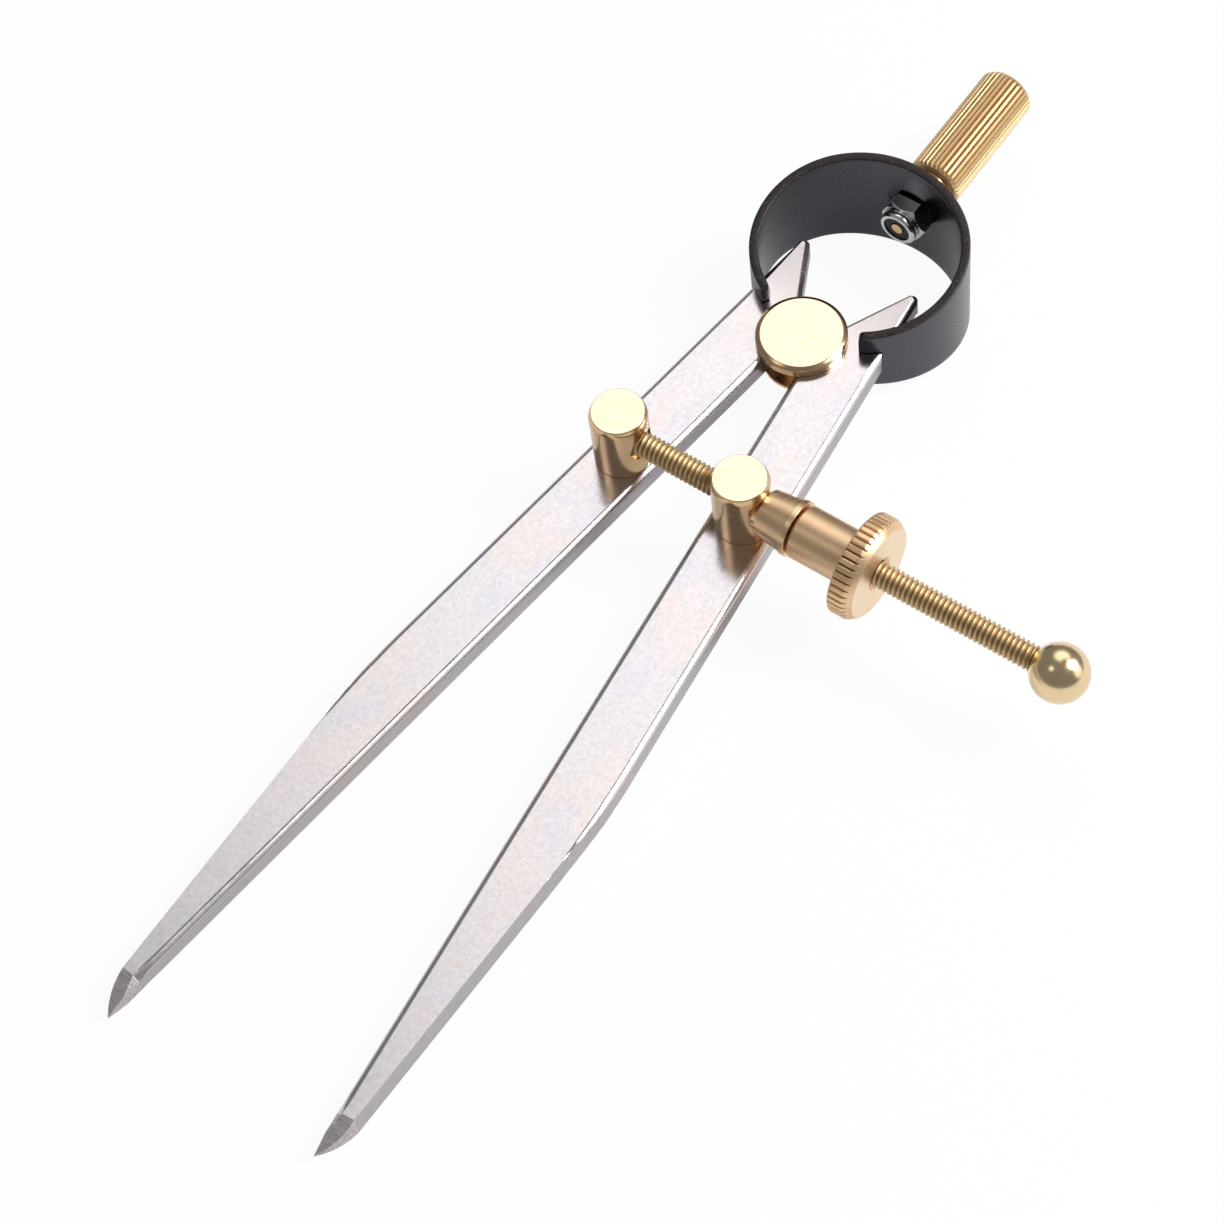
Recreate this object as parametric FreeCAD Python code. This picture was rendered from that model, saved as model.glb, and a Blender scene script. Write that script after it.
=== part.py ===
# Wing divider with a bow spring: two flat steel legs that open about a brass pivot roller,
# a C-shaped black spring with a knurled brass handle, and a fine screw between two swivel posts.
#
# Millimetres. The divider lies flat, as it does on a bench. The origin is the centre of the
# pivot's rear face. +Z is the pivot axis, towards the front of the tool, +Y points to the handle,
# and the leg points are towards -Y. The adjusting screw runs along +X, to its ball end.
import FreeCAD, Part
import os
from math import asin, atan2, cos, degrees, hypot, pi, radians, sin, sqrt

os.makedirs("parts", exist_ok=True)

# Fits and clearances
RUNNING = 0.05              # radial play of a turning fit, and play on each face of a leg
THREAD_PLAY = 0.08          # radial play between the adjusting screw and what it runs through
SEAT_GAP = 0.10             # between the spring's slot and the notch that it bears on
NOTCH_GAP = 0.45            # between the spring's inner face and the notch's upper wall
FACE_GAP = 0.20             # between the spring's prongs and the faces of a leg
NEAR = 0.01                 # how close an edge has to lie to count as the one looked for

# Legs
LEG_LENGTH = 145.0          # pivot axis to point
LEG_THICKNESS = 4.3
LEG_WIDTH = 10.45
LEG_INNER_OFFSET = 2.0      # inner edge to the pivot axis
LEG_CHAMFER = 0.95
REST_ANGLE = 6.4            # each leg's angle from the centre plane

# The taper is ground on each leg's outer side, after the bevels were made.
TAPER_START = 80.9          # distance of its start below the pivot axis
KNEE_REACH = 3.7            # how far the rounding of that corner reaches, up and down
KNEE_DEPTH = 0.12           # how much of the corner the rounding takes off
KNEE_OVERCUT = 0.05         # how far outside the leg the rounding begins
BEVEL_RUNOUT = 17.0         # distance below the start in which the outer bevels run out

# Ground points
POINT_LENGTH = 6.3          # ground length of the point
POINT_WIDTH = 2.9           # leg's width where the grinding begins
POINT_BULGE = 0.6           # how far the ground outer side is rounded
POINT_FLAT = 0.3            # thickness left at the very point

# Horns above the pivot
HORN_LEAN = 33.2            # angle between a horn's inner edge and the leg
HORN_OFFSET = 1.0           # distance at which the line of that edge passes the pivot axis
HORN_TIP_RADIUS = 1.0
HORN_CHAMFER = 0.7

# Pivot roller
CORE_RADIUS = 4.0
FLANGE_RADIUS = 7.0
FLANGE_THICKNESS = 1.65
FLANGE_BEVEL_RADIAL = 0.7
FLANGE_BEVEL_AXIAL = 0.42
CAP_RADIUS = 6.2            # rear flange
CAP_BEVEL = 1.15
PIVOT_SCREW_RADIUS = 1.5
PIVOT_SCREW_HEAD_RADIUS = 2.8
PIVOT_SCREW_LENGTH = 5.4

# Bow spring
SPRING_HALF_X = 17.05       # centre plane to the outer face, at the sides
SPRING_HALF_Y = 15.9        # centre of the bow to the outer face, at the crown
SPRING_CENTRE_Y = 15.9      # centre of the bow above the pivot axis
SPRING_JOIN_TURN = 37.9     # degrees from +Y where the crown's arc runs into the side arcs
SPRING_THICKNESS = 1.4
SPRING_CROWN_WIDTH = 19.8
SPRING_END_WIDTH = 11.7
PRONG_LENGTH = 3.4          # along the outer face, from the slot's end to the prongs' ends
PRONG_CORNER = 0.9
NOTCH_DEPTH = 1.26          # leg's outer edge to the slot's end, at the strip's inner face

# Handle and its stud
HANDLE_RADIUS = 4.45
HANDLE_LENGTH = 21.9
HANDLE_END_CHAMFER = 0.35
HANDLE_FLUTES = 33
HANDLE_FLUTE_DEPTH = 0.35
HANDLE_CREST_SHARE = 0.5    # share of a flute's pitch that is left as its crest
NECK_RADIUS = 3.3
NECK_LENGTH = 4.4
STUD_RADIUS = 2.0
STUD_CHAMFER = 0.7
STUD_SHORT = 0.15           # how far the stud's end stands back inside the nut

# Lock nut inside the bow, with its nylon ring
NUT_FLATS = 7.0
NUT_HEX_HEIGHT = 2.5
NUT_EDGE = 0.35             # bevel of the hexagon's corners
NUT_CROWN_HEIGHT = 1.05
NUT_GROOVE_WIDTH = 0.35
NUT_GROOVE_DEPTH = 0.3      # groove's floor below the crown's side
NUT_GROOVE_WALL = 0.15      # groove's floor to the nylon ring
NUT_LIP_THICKNESS = 0.3
NUT_LIP_GAP = 0.3           # stud to the hole in the crown's lip
INSERT_WALL = 0.7           # stud to the nylon ring's outside

# Swivel posts
POST_DISTANCE = 33.1        # pivot axis to post axis
POST_RADIUS = 4.4
POST_HEIGHT = 11.3          # above the leg's front face
POST_BEVEL_RADIAL = 0.37
POST_BEVEL_AXIAL = 0.95
SPIGOT_RADIUS = 2.2
WASHER_RADIUS = 4.2
WASHER_THICKNESS = 0.7
POST_SCREW_RADIUS = 1.0
POST_SCREW_HEAD_RADIUS = 2.0
POST_SCREW_HEAD_HEIGHT = 1.3
POST_SCREW_LENGTH = 7.0
POST_MOUTH_GAP = 0.55       # screw to the counterbore where it enters the left post
POST_MOUTH_DEPTH = 1.3
SET_SCREW_RADIUS = 1.25
SET_SCREW_RECESS = 0.3

# Adjusting screw and ball end
SCREW_RADIUS = 2.0
SCREW_HEIGHT = 5.85         # axis above the legs' front face
SCREW_LENGTH = 75.2         # left post axis to the ball's centre
SCREW_TAIL = 2.9            # how far the screw runs past the left post's axis
SCREW_END_CHAMFER = 0.4
BALL_RADIUS = 4.4
BALL_BORE_DEPTH = 0.6       # how far the screw runs past the ball's centre

# Thrust sleeve
SLEEVE_LENGTH = 5.6
SLEEVE_RADIUS_POST = 3.65   # cone's radius beside the post
SLEEVE_RADIUS_WHEEL = 4.25  # cone's radius beside the flange
SLEEVE_FLANGE_RADIUS = 4.4
SLEEVE_FLANGE_WIDTH = 0.9
NOSE_WALL = 0.82            # wall of the sleeve's nose, which sits inside the right post
NOSE_LENGTH = 1.6
NOSE_END_GAP = 0.4

# Adjusting wheel
WHEEL_THRUST_GAP = 0.25     # sleeve's flange to the wheel's barrel
BARREL_RADIUS = 4.15
BARREL_LENGTH = 9.7
BARREL_EDGE = 0.4
WHEEL_RADIUS = 8.05
WHEEL_WIDTH = 3.8
WHEEL_BEVEL_BACK = 0.3      # on the barrel's side
WHEEL_BEVEL_AXIAL = 1.4     # long bevel on the outer face, which the teeth run out in
WHEEL_BEVEL_RADIAL = 0.95
WHEEL_TEETH = 44
WHEEL_TOOTH_DEPTH = 0.45
WHEEL_CREST_SHARE = 0.55
WHEEL_COUNTERSINK = 0.6

# Heights on the pivot axis
LEG_REAR_Z = FLANGE_THICKNESS + RUNNING
LEG_FRONT_Z = LEG_REAR_Z + LEG_THICKNESS
MID_Z = LEG_REAR_Z + LEG_THICKNESS / 2
FRONT_FLANGE_Z = LEG_FRONT_Z + RUNNING
POST_TOP_Z = LEG_FRONT_Z + POST_HEIGHT
SCREW_Z = LEG_FRONT_Z + SCREW_HEIGHT

X = FreeCAD.Vector(1, 0, 0)
Y = FreeCAD.Vector(0, 1, 0)
Z = FreeCAD.Vector(0, 0, 1)
ORIGIN = FreeCAD.Vector(0, 0, 0)


def vec(x, y, z=0.0):
    return FreeCAD.Vector(x, y, z)


def polygon_face(points):
    return Part.Face(Part.makePolygon(points + [points[0]]))


def slab(face, low, high):
    """A flat outline in the XY plane, made solid between two heights."""
    body = face.copy()
    body.translate(vec(0, 0, low))
    return body.extrude(vec(0, 0, high - low))


def lathe(profile, base, axis):
    """Turns (radius, distance along the axis) points about the axis through base."""
    side = Y if abs(axis.dot(X)) > 0.5 else X
    points = [base + side * r + axis * d for r, d in profile]
    return polygon_face(points).revolve(base, axis, 360)


def rod(radius, start, axis, length):
    return Part.makeCylinder(radius, length, start, axis)


def mirrored(shape):
    """The same piece on the other side of the centre plane."""
    return shape.mirror(ORIGIN, X)


def toothed_face(radius, depth, count, crest_share):
    """A round outline with straight-sided grooves: crest, flank, root point, flank."""
    points = []
    for i in range(count):
        middle = 2 * pi * i / count
        half = pi * crest_share / count
        for angle, r in ((middle - half, radius), (middle + half, radius),
                         (middle + pi / count, radius - depth)):
            points.append(vec(r * cos(angle), r * sin(angle)))
    return polygon_face(points)


def faceted(profile, count):
    """Turns (distance, height) points into flats instead of a round side, one flat to a tooth."""
    rings = []
    for distance, height in profile:
        corner = distance / cos(pi / count)
        angles = [2 * pi * (i + 0.5) / count for i in range(count)]
        rings.append([vec(corner * cos(a), corner * sin(a), height) for a in angles])
    faces = [polygon_face(rings[0]), polygon_face(rings[-1])]
    for low, high in zip(rings, rings[1:]):
        for i in range(count):
            faces.append(polygon_face([low[i], low[i - 1], high[i - 1], high[i]]))
    return Part.Solid(Part.Shell(faces))


def aim(shape, axis, place):
    """Turns a piece built along +Z so that it runs along axis, and puts its base at place."""
    shape.Placement = FreeCAD.Placement(place, FreeCAD.Rotation(Z, axis))
    return shape


# The posts stand on the middle of each leg's width.
POST_SIDE = LEG_INNER_OFFSET + LEG_WIDTH / 2
POST_DROP = sqrt(POST_DISTANCE ** 2 - POST_SIDE ** 2)
POST_ANGLE = atan2(POST_SIDE, POST_DROP) + radians(REST_ANGLE)
POST_X = POST_DISTANCE * sin(POST_ANGLE)
POST_Y = -POST_DISTANCE * cos(POST_ANGLE)

# The bow's plan is three tangent arcs: the crown's, and one on each side.
BOW_TOP_Y = SPRING_CENTRE_Y + SPRING_HALF_Y
JOIN_SIN, JOIN_COS = sin(radians(SPRING_JOIN_TURN)), cos(radians(SPRING_JOIN_TURN))
CENTRE_STEP = (SPRING_HALF_X - SPRING_HALF_Y) / (JOIN_SIN + JOIN_COS - 1)
SIDE_CENTRE_X = CENTRE_STEP * JOIN_SIN
SIDE_RADIUS = SPRING_HALF_X - SIDE_CENTRE_X
CROWN_RADIUS = SIDE_RADIUS + CENTRE_STEP
CROWN_CENTRE_Y = BOW_TOP_Y - CROWN_RADIUS

# The slot in each end of the bow ends at a set depth inside the leg's outer edge.
LEG_OUTER_X = -LEG_INNER_OFFSET - LEG_WIDTH
SIDE_CENTRE_IN_LEG = FreeCAD.Rotation(Z, REST_ANGLE).multVec(vec(-SIDE_CENTRE_X, SPRING_CENTRE_Y))
ROOT_REACH = SIDE_CENTRE_IN_LEG.x - LEG_OUTER_X - NOTCH_DEPTH
ROOT_TURN = 180 - REST_ANGLE - degrees(asin(ROOT_REACH / (SIDE_RADIUS - SPRING_THICKNESS)))
END_TURN = ROOT_TURN + degrees(PRONG_LENGTH / SIDE_RADIUS)

# What goes round the stud and the adjusting screw is sized outwards from them.
INSERT_RADIUS = STUD_RADIUS + INSERT_WALL
NUT_LIP_RADIUS = STUD_RADIUS + NUT_LIP_GAP
NUT_GROOVE_RADIUS = INSERT_RADIUS + NUT_GROOVE_WALL
NUT_CROWN_RADIUS = NUT_GROOVE_RADIUS + NUT_GROOVE_DEPTH
SCREW_BORE = SCREW_RADIUS + THREAD_PLAY
NOSE_RADIUS = SCREW_BORE + NOSE_WALL


def bow_point(turn, inset):
    """A point of the bow's plan, at a turn in degrees from +Y about its arc's centre."""
    a = radians(turn)
    if abs(turn) > SPRING_JOIN_TURN:
        centre = vec(SIDE_CENTRE_X if turn > 0 else -SIDE_CENTRE_X, SPRING_CENTRE_Y)
        radius = SIDE_RADIUS - inset
    else:
        centre = vec(0, CROWN_CENTRE_Y)
        radius = CROWN_RADIUS - inset
    return centre + vec(sin(a), cos(a)) * radius


def slot_end(side):
    """The slot's end face in plan: its outer and inner points, on the side -1 or +1."""
    return [bow_point(side * ROOT_TURN, inset) for inset in (0, SPRING_THICKNESS)]


def notch_corners():
    """The left leg's notch, in the leg's own frame: lower corner, root and upper corner.

    The lower wall lies along the end face of the spring's slot, which bears on it. The upper
    wall follows the spring's inner face up to the leg's outer edge."""
    turn = FreeCAD.Rotation(Z, REST_ANGLE)
    outer, inner = [turn.multVec(p) for p in slot_end(-1)]
    wall = (inner - outer).normalize()
    root = inner + wall * NOTCH_GAP - vec(-wall.y, wall.x) * SEAT_GAP
    low = root - wall * ((root.x - LEG_OUTER_X) / wall.x)
    centre = SIDE_CENTRE_IN_LEG
    radius = SIDE_RADIUS - SPRING_THICKNESS - NOTCH_GAP
    high = vec(LEG_OUTER_X, centre.y - sqrt(radius ** 2 - (LEG_OUTER_X - centre.x) ** 2))
    return low, root, high


def taper_line():
    """The ground side in plan, in the leg's own frame: its corner at the leg's outer edge, where
    the point begins, and a direction outwards from the leg."""
    corner = vec(LEG_OUTER_X, -TAPER_START)
    ground = vec(-LEG_INNER_OFFSET - POINT_WIDTH, -LEG_LENGTH + POINT_LENGTH)
    run = (ground - corner).normalize()
    return corner, ground, vec(run.y, -run.x)


def leg_outline():
    """The left leg's bar in its own frame: closed against the centre plane, foot at the bottom.

    Its inner edge runs parallel to Y on the -X side. The seat for the roller is an arc about
    the pivot axis, and the horn's inner edge leans outwards from it. The outer edge turns in
    below the taper's corner, less than the taper does, so that its bevels run out there."""
    inner = -LEG_INNER_OFFSET
    outer = LEG_OUTER_X
    seat = CORE_RADIUS + RUNNING
    lean = radians(HORN_LEAN)
    along = vec(-sin(lean), cos(lean))
    across = vec(cos(lean), sin(lean))
    seat_low = vec(inner, -sqrt(seat ** 2 - inner ** 2))
    seat_high = along * sqrt(seat ** 2 - HORN_OFFSET ** 2) - across * HORN_OFFSET
    tip_x = outer + HORN_TIP_RADIUS * (1 + cos(lean))
    tip_low = seat_high + along * ((seat_high.x - tip_x) / sin(lean))
    tip_centre = tip_low - across * HORN_TIP_RADIUS
    tip_mid = tip_centre + (across - X).normalize() * HORN_TIP_RADIUS
    if tip_mid.y < tip_centre.y:
        tip_mid = tip_centre * 2 - tip_mid
    tip_side = vec(outer, tip_centre.y)
    low, root, high = notch_corners()
    corner, ground, outwards = taper_line()
    run = (ground - corner).normalize()
    turn_in = run * BEVEL_RUNOUT + outwards * LEG_CHAMFER
    foot = corner + turn_in * ((-LEG_LENGTH - corner.y) / turn_in.y)
    point = vec(inner, -LEG_LENGTH)
    edges = [
        Part.LineSegment(point, seat_low),
        Part.Arc(seat_low, vec(-seat, 0), seat_high),
        Part.LineSegment(seat_high, tip_low),
        Part.Arc(tip_low, tip_mid, tip_side),
        Part.LineSegment(tip_side, high),
        Part.LineSegment(high, root),
        Part.LineSegment(root, low),
        Part.LineSegment(low, corner),
        Part.LineSegment(corner, foot),
        Part.LineSegment(foot, point),
    ]
    return Part.Wire([edge.toShape() for edge in edges])


def leg_edges(body):
    """The edges of both faces that are bevelled: the long ones, and the horn's."""
    low, root, high = notch_corners()
    seat = CORE_RADIUS + RUNNING
    long_edges, horn_edges = [], []
    for edge in body.Edges:
        a, b = edge.Vertexes[0].Point, edge.Vertexes[-1].Point
        if abs(a.z - b.z) > NEAR:
            continue
        middle = edge.valueAt((edge.FirstParameter + edge.LastParameter) / 2)
        in_seat = hypot(middle.x, middle.y) < seat + NEAR
        plan = vec(middle.x, middle.y)
        in_notch = plan.distanceToLineSegment(low, root).Length < NEAR
        in_notch = in_notch or plan.distanceToLineSegment(root, high).Length < NEAR
        at_foot = middle.y < -LEG_LENGTH + NEAR
        if in_seat or in_notch or at_foot:
            continue
        if middle.y < 0:
            long_edges.append(edge)
        else:
            horn_edges.append(edge)
    return long_edges, horn_edges


def side_grinding():
    """What grinding takes off a leg's outer side: the taper, and the rounded side of the point."""
    corner, ground, outwards = taper_line()
    point = vec(-LEG_INNER_OFFSET, -LEG_LENGTH)
    chord = point - ground
    bulge = ground + chord * 0.5 + vec(chord.y, -chord.x).normalize() * POINT_BULGE
    high = corner + Y * KNEE_REACH - X * KNEE_OVERCUT
    knee = corner - (outwards - X).normalize() * KNEE_DEPTH
    low = corner + (ground - corner).normalize() * KNEE_REACH
    away = vec(-2 * LEG_WIDTH, high.y)
    beyond = point - Y * POINT_LENGTH
    edges = [
        Part.Arc(high, knee, low),
        Part.LineSegment(low, ground),
        Part.Arc(ground, bulge, point),
        Part.LineSegment(point, beyond),
        Part.LineSegment(beyond, vec(away.x, beyond.y)),
        Part.LineSegment(vec(away.x, beyond.y), away),
        Part.LineSegment(away, high),
    ]
    outline = Part.Wire([edge.toShape() for edge in edges])
    return slab(Part.Face(outline), LEG_REAR_Z - LEG_THICKNESS, LEG_FRONT_Z + LEG_THICKNESS)


def point_grinding():
    """The two wedges that grinding takes off the faces, towards the point."""
    wide = LEG_WIDTH + POINT_LENGTH
    half = LEG_THICKNESS / 2
    flat = POINT_FLAT / 2
    top = -LEG_LENGTH + POINT_LENGTH
    slope = (half - flat) / POINT_LENGTH
    past = LEG_LENGTH + POINT_LENGTH
    wedges = []
    for side in (-1, 1):
        points = [vec(-wide, top, MID_Z + side * half),
                  vec(-wide, -past, MID_Z + side * (flat - slope * POINT_LENGTH)),
                  vec(-wide, -past, MID_Z + side * 3 * half),
                  vec(-wide, top, MID_Z + side * 3 * half)]
        wedges.append(polygon_face(points).extrude(vec(2 * wide, 0, 0)))
    return wedges


def left_leg():
    body = slab(Part.Face(leg_outline()), LEG_REAR_Z, LEG_FRONT_Z)
    body = body.makeChamfer(LEG_CHAMFER, leg_edges(body)[0])
    body = body.makeChamfer(HORN_CHAMFER, leg_edges(body)[1])
    for tool in [side_grinding()] + point_grinding():
        body = body.cut(tool)
    hole = rod(SPIGOT_RADIUS + RUNNING, vec(-POST_SIDE, -POST_DROP), Z, POST_TOP_Z)
    body = body.cut(hole)
    body.rotate(ORIGIN, Z, -REST_ANGLE)
    return body


def pivot_core():
    """The front flange with the roller that the legs turn on, tapped from behind."""
    top = FRONT_FLANGE_Z + FLANGE_THICKNESS
    flat = FLANGE_RADIUS - FLANGE_BEVEL_RADIAL
    profile = [(0, FLANGE_THICKNESS), (CORE_RADIUS, FLANGE_THICKNESS),
               (CORE_RADIUS, FRONT_FLANGE_Z), (FLANGE_RADIUS, FRONT_FLANGE_Z),
               (FLANGE_RADIUS, top - FLANGE_BEVEL_AXIAL), (flat, top), (0, top)]
    body = lathe(profile, ORIGIN, Z)
    return body.cut(rod(PIVOT_SCREW_RADIUS, ORIGIN, Z, PIVOT_SCREW_LENGTH))


def pivot_cap():
    """The rear flange, countersunk for the pivot's screw."""
    profile = [(PIVOT_SCREW_HEAD_RADIUS, 0), (CAP_RADIUS - CAP_BEVEL, 0),
               (CAP_RADIUS, CAP_BEVEL), (CAP_RADIUS, FLANGE_THICKNESS),
               (PIVOT_SCREW_RADIUS, FLANGE_THICKNESS),
               (PIVOT_SCREW_RADIUS, PIVOT_SCREW_HEAD_RADIUS - PIVOT_SCREW_RADIUS)]
    return lathe(profile, ORIGIN, Z)


def pivot_screw():
    sink = PIVOT_SCREW_HEAD_RADIUS - PIVOT_SCREW_RADIUS
    profile = [(0, 0), (PIVOT_SCREW_HEAD_RADIUS, 0), (PIVOT_SCREW_RADIUS, sink),
               (PIVOT_SCREW_RADIUS, PIVOT_SCREW_LENGTH), (0, PIVOT_SCREW_LENGTH)]
    return lathe(profile, ORIGIN, Z)


def bow_spring():
    """A flat strip that narrows from crown to ends, rolled into a C and slotted at both ends."""
    edges = []
    for inset in (0, SPRING_THICKNESS):
        for start, stop in ((-END_TURN, -SPRING_JOIN_TURN), (SPRING_JOIN_TURN, END_TURN)):
            arc = [bow_point(t, inset) for t in (start, (start + stop) / 2, stop)]
            edges.append(Part.Arc(*arc))
        crown = [bow_point(t, inset) for t in (-SPRING_JOIN_TURN, 0, SPRING_JOIN_TURN)]
        edges.append(Part.Arc(*crown))
    for turn in (-END_TURN, END_TURN):
        edges.append(Part.LineSegment(bow_point(turn, 0), bow_point(turn, SPRING_THICKNESS)))
    outline = Part.Wire(Part.__sortEdges__([edge.toShape() for edge in edges]))
    widest = SPRING_CROWN_WIDTH / 2
    body = slab(Part.Face(outline), MID_Z - widest, MID_Z + widest)

    # Both rims are planes that close in from the crown to the ends.
    end_y = bow_point(END_TURN, 0).y
    slope = (SPRING_CROWN_WIDTH - SPRING_END_WIDTH) / 2 / (BOW_TOP_Y - end_y)
    reach = SPRING_HALF_X + SPRING_CROWN_WIDTH
    low_y, high_y = end_y - SPRING_THICKNESS, BOW_TOP_Y + SPRING_THICKNESS
    low_half = SPRING_END_WIDTH / 2 - slope * SPRING_THICKNESS
    high_half = SPRING_CROWN_WIDTH / 2 + slope * SPRING_THICKNESS
    wedge = polygon_face([vec(-reach, low_y, MID_Z - low_half),
                          vec(-reach, high_y, MID_Z - high_half),
                          vec(-reach, high_y, MID_Z + high_half),
                          vec(-reach, low_y, MID_Z + low_half)])
    body = body.common(wedge.extrude(vec(2 * reach, 0, 0)))

    # A slot in each end takes the leg between two prongs.
    half = LEG_THICKNESS / 2 + FACE_GAP
    for side in (-1, 1):
        outer, inner = slot_end(side)
        out = (outer - inner).normalize() * SPRING_THICKNESS
        down = vec(side * out.y, -side * out.x)
        past = down.normalize() * SPRING_HALF_X
        cutter = polygon_face([outer + out, inner - out, inner - out + past, outer + out + past])
        body = body.cut(slab(cutter, MID_Z - half, MID_Z + half))
    return round_prongs(body).cut(rod(STUD_RADIUS + RUNNING, vec(0, SPRING_CENTRE_Y, MID_Z),
                                      Y, SPRING_HALF_X))


def round_prongs(body):
    """Rounds the outer corners of the prongs' ends."""
    outer = bow_point(END_TURN, 0)
    inner = bow_point(END_TURN, SPRING_THICKNESS)
    corners = []
    for edge in body.Edges:
        a, b = edge.Vertexes[0].Point, edge.Vertexes[-1].Point
        plans = sorted(hypot(abs(p.x) - outer.x, p.y - outer.y) for p in (a, b))
        span = (outer - inner).Length
        far = abs((a.z + b.z) / 2 - MID_Z) > LEG_THICKNESS / 2 + 2 * FACE_GAP
        if plans[0] < NEAR and abs(plans[1] - span) < NEAR and far:
            corners.append(edge)
    return body.makeFillet(PRONG_CORNER, corners)


def nut_seat_y():
    """Where the nut's flat top meets the hollow of the bow, at the hexagon's corners."""
    corner = NUT_FLATS / sqrt(3)
    return CROWN_CENTRE_Y + sqrt((CROWN_RADIUS - SPRING_THICKNESS) ** 2 - corner ** 2)


def nut_end_y():
    return nut_seat_y() - NUT_HEX_HEIGHT - NUT_GROOVE_WIDTH - NUT_CROWN_HEIGHT


def handle():
    """Knurled grip, neck and stud, turned in one piece."""
    knurl_y = BOW_TOP_Y + NECK_LENGTH
    length = HANDLE_LENGTH
    chamfer = HANDLE_END_CHAMFER
    grip = toothed_face(HANDLE_RADIUS, HANDLE_FLUTE_DEPTH, HANDLE_FLUTES, HANDLE_CREST_SHARE)
    grip = slab(grip, 0, length)
    envelope = faceted([(HANDLE_RADIUS - chamfer, 0), (HANDLE_RADIUS, chamfer),
                        (HANDLE_RADIUS, length - chamfer), (HANDLE_RADIUS - chamfer, length)],
                       HANDLE_FLUTES)
    grip = aim(grip.common(envelope), Y, vec(0, knurl_y, MID_Z))
    neck = rod(NECK_RADIUS, vec(0, BOW_TOP_Y, MID_Z), Y, NECK_LENGTH)
    end = nut_end_y() + STUD_SHORT
    stud = lathe([(0, end), (STUD_RADIUS - STUD_CHAMFER, end), (STUD_RADIUS, end + STUD_CHAMFER),
                  (STUD_RADIUS, BOW_TOP_Y), (0, BOW_TOP_Y)], vec(0, 0, MID_Z), Y)
    return grip.fuse([neck, stud]).removeSplitter()


def lock_nut():
    """Hexagon, groove and rolled crown, with a pocket for the nylon ring."""
    top = nut_seat_y()
    hex_end = top - NUT_HEX_HEIGHT
    crown_end = nut_end_y()
    corner = NUT_FLATS / sqrt(3)
    corners = [vec(corner * cos(pi / 3 * i), corner * sin(pi / 3 * i)) for i in range(6)]
    hexagon = aim(slab(polygon_face(corners), 0, NUT_HEX_HEIGHT), Y, vec(0, hex_end, MID_Z))
    edge = corner - NUT_FLATS / 2
    trim = lathe([(0, hex_end), (NUT_FLATS / 2, hex_end), (corner, hex_end + edge),
                  (corner, top), (0, top)], vec(0, 0, MID_Z), Y)
    crown = lathe([(0, crown_end), (NUT_CROWN_RADIUS - NUT_EDGE, crown_end),
                   (NUT_CROWN_RADIUS, crown_end + NUT_EDGE),
                   (NUT_CROWN_RADIUS, crown_end + NUT_CROWN_HEIGHT),
                   (NUT_GROOVE_RADIUS, crown_end + NUT_CROWN_HEIGHT),
                   (NUT_GROOVE_RADIUS, hex_end), (0, hex_end)], vec(0, 0, MID_Z), Y)
    body = hexagon.common(trim).fuse(crown).removeSplitter()
    pocket = lathe([(0, crown_end), (NUT_LIP_RADIUS, crown_end),
                    (NUT_LIP_RADIUS, crown_end + NUT_LIP_THICKNESS),
                    (INSERT_RADIUS, crown_end + NUT_LIP_THICKNESS), (INSERT_RADIUS, hex_end),
                    (STUD_RADIUS, hex_end), (STUD_RADIUS, top), (0, top)],
                   vec(0, 0, MID_Z), Y)
    return body.cut(pocket)


def nut_insert():
    low = nut_end_y() + NUT_LIP_THICKNESS
    high = nut_seat_y() - NUT_HEX_HEIGHT
    return lathe([(STUD_RADIUS, low + STUD_CHAMFER - STUD_SHORT), (NUT_LIP_RADIUS, low),
                  (INSERT_RADIUS, low), (INSERT_RADIUS, high), (STUD_RADIUS, high)],
                 vec(0, 0, MID_Z), Y)


def plain_post(side):
    """A round post with a spigot that turns in its leg, tapped from behind."""
    flat = POST_RADIUS - POST_BEVEL_RADIAL
    low = LEG_REAR_Z - RUNNING
    base = vec(side * POST_X, POST_Y)
    profile = [(POST_SCREW_RADIUS, low), (SPIGOT_RADIUS, low),
               (SPIGOT_RADIUS, LEG_FRONT_Z + RUNNING), (POST_RADIUS, LEG_FRONT_Z + RUNNING),
               (POST_RADIUS, POST_TOP_Z - POST_BEVEL_AXIAL), (flat, POST_TOP_Z), (0, POST_TOP_Z),
               (0, low + POST_SCREW_LENGTH), (POST_SCREW_RADIUS, low + POST_SCREW_LENGTH)]
    return lathe(profile, base, Z)


def post_axis_point(side):
    return vec(side * POST_X, POST_Y, SCREW_Z)


def left_post():
    """Holds the adjusting screw's end, which a set screw locks from the back."""
    centre = post_axis_point(-1)
    body = plain_post(-1)
    body = body.cut(rod(SCREW_RADIUS, centre - X * SCREW_TAIL, X, SCREW_TAIL + POST_RADIUS))
    mouth = centre + X * (POST_RADIUS - POST_MOUTH_DEPTH)
    body = body.cut(rod(SCREW_RADIUS + POST_MOUTH_GAP, mouth, X, POST_RADIUS))
    return body.cut(rod(SET_SCREW_RADIUS, centre, Y, POST_RADIUS))


def right_post():
    """Lets the adjusting screw slide through, with a counterbore for the thrust sleeve."""
    centre = post_axis_point(1)
    body = plain_post(1)
    body = body.cut(rod(SCREW_BORE, centre - X * POST_RADIUS, X, 2 * POST_RADIUS))
    pocket = centre + X * (POST_RADIUS - NOSE_LENGTH - NOSE_END_GAP)
    return body.cut(rod(NOSE_RADIUS, pocket, X, POST_RADIUS))


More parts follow.
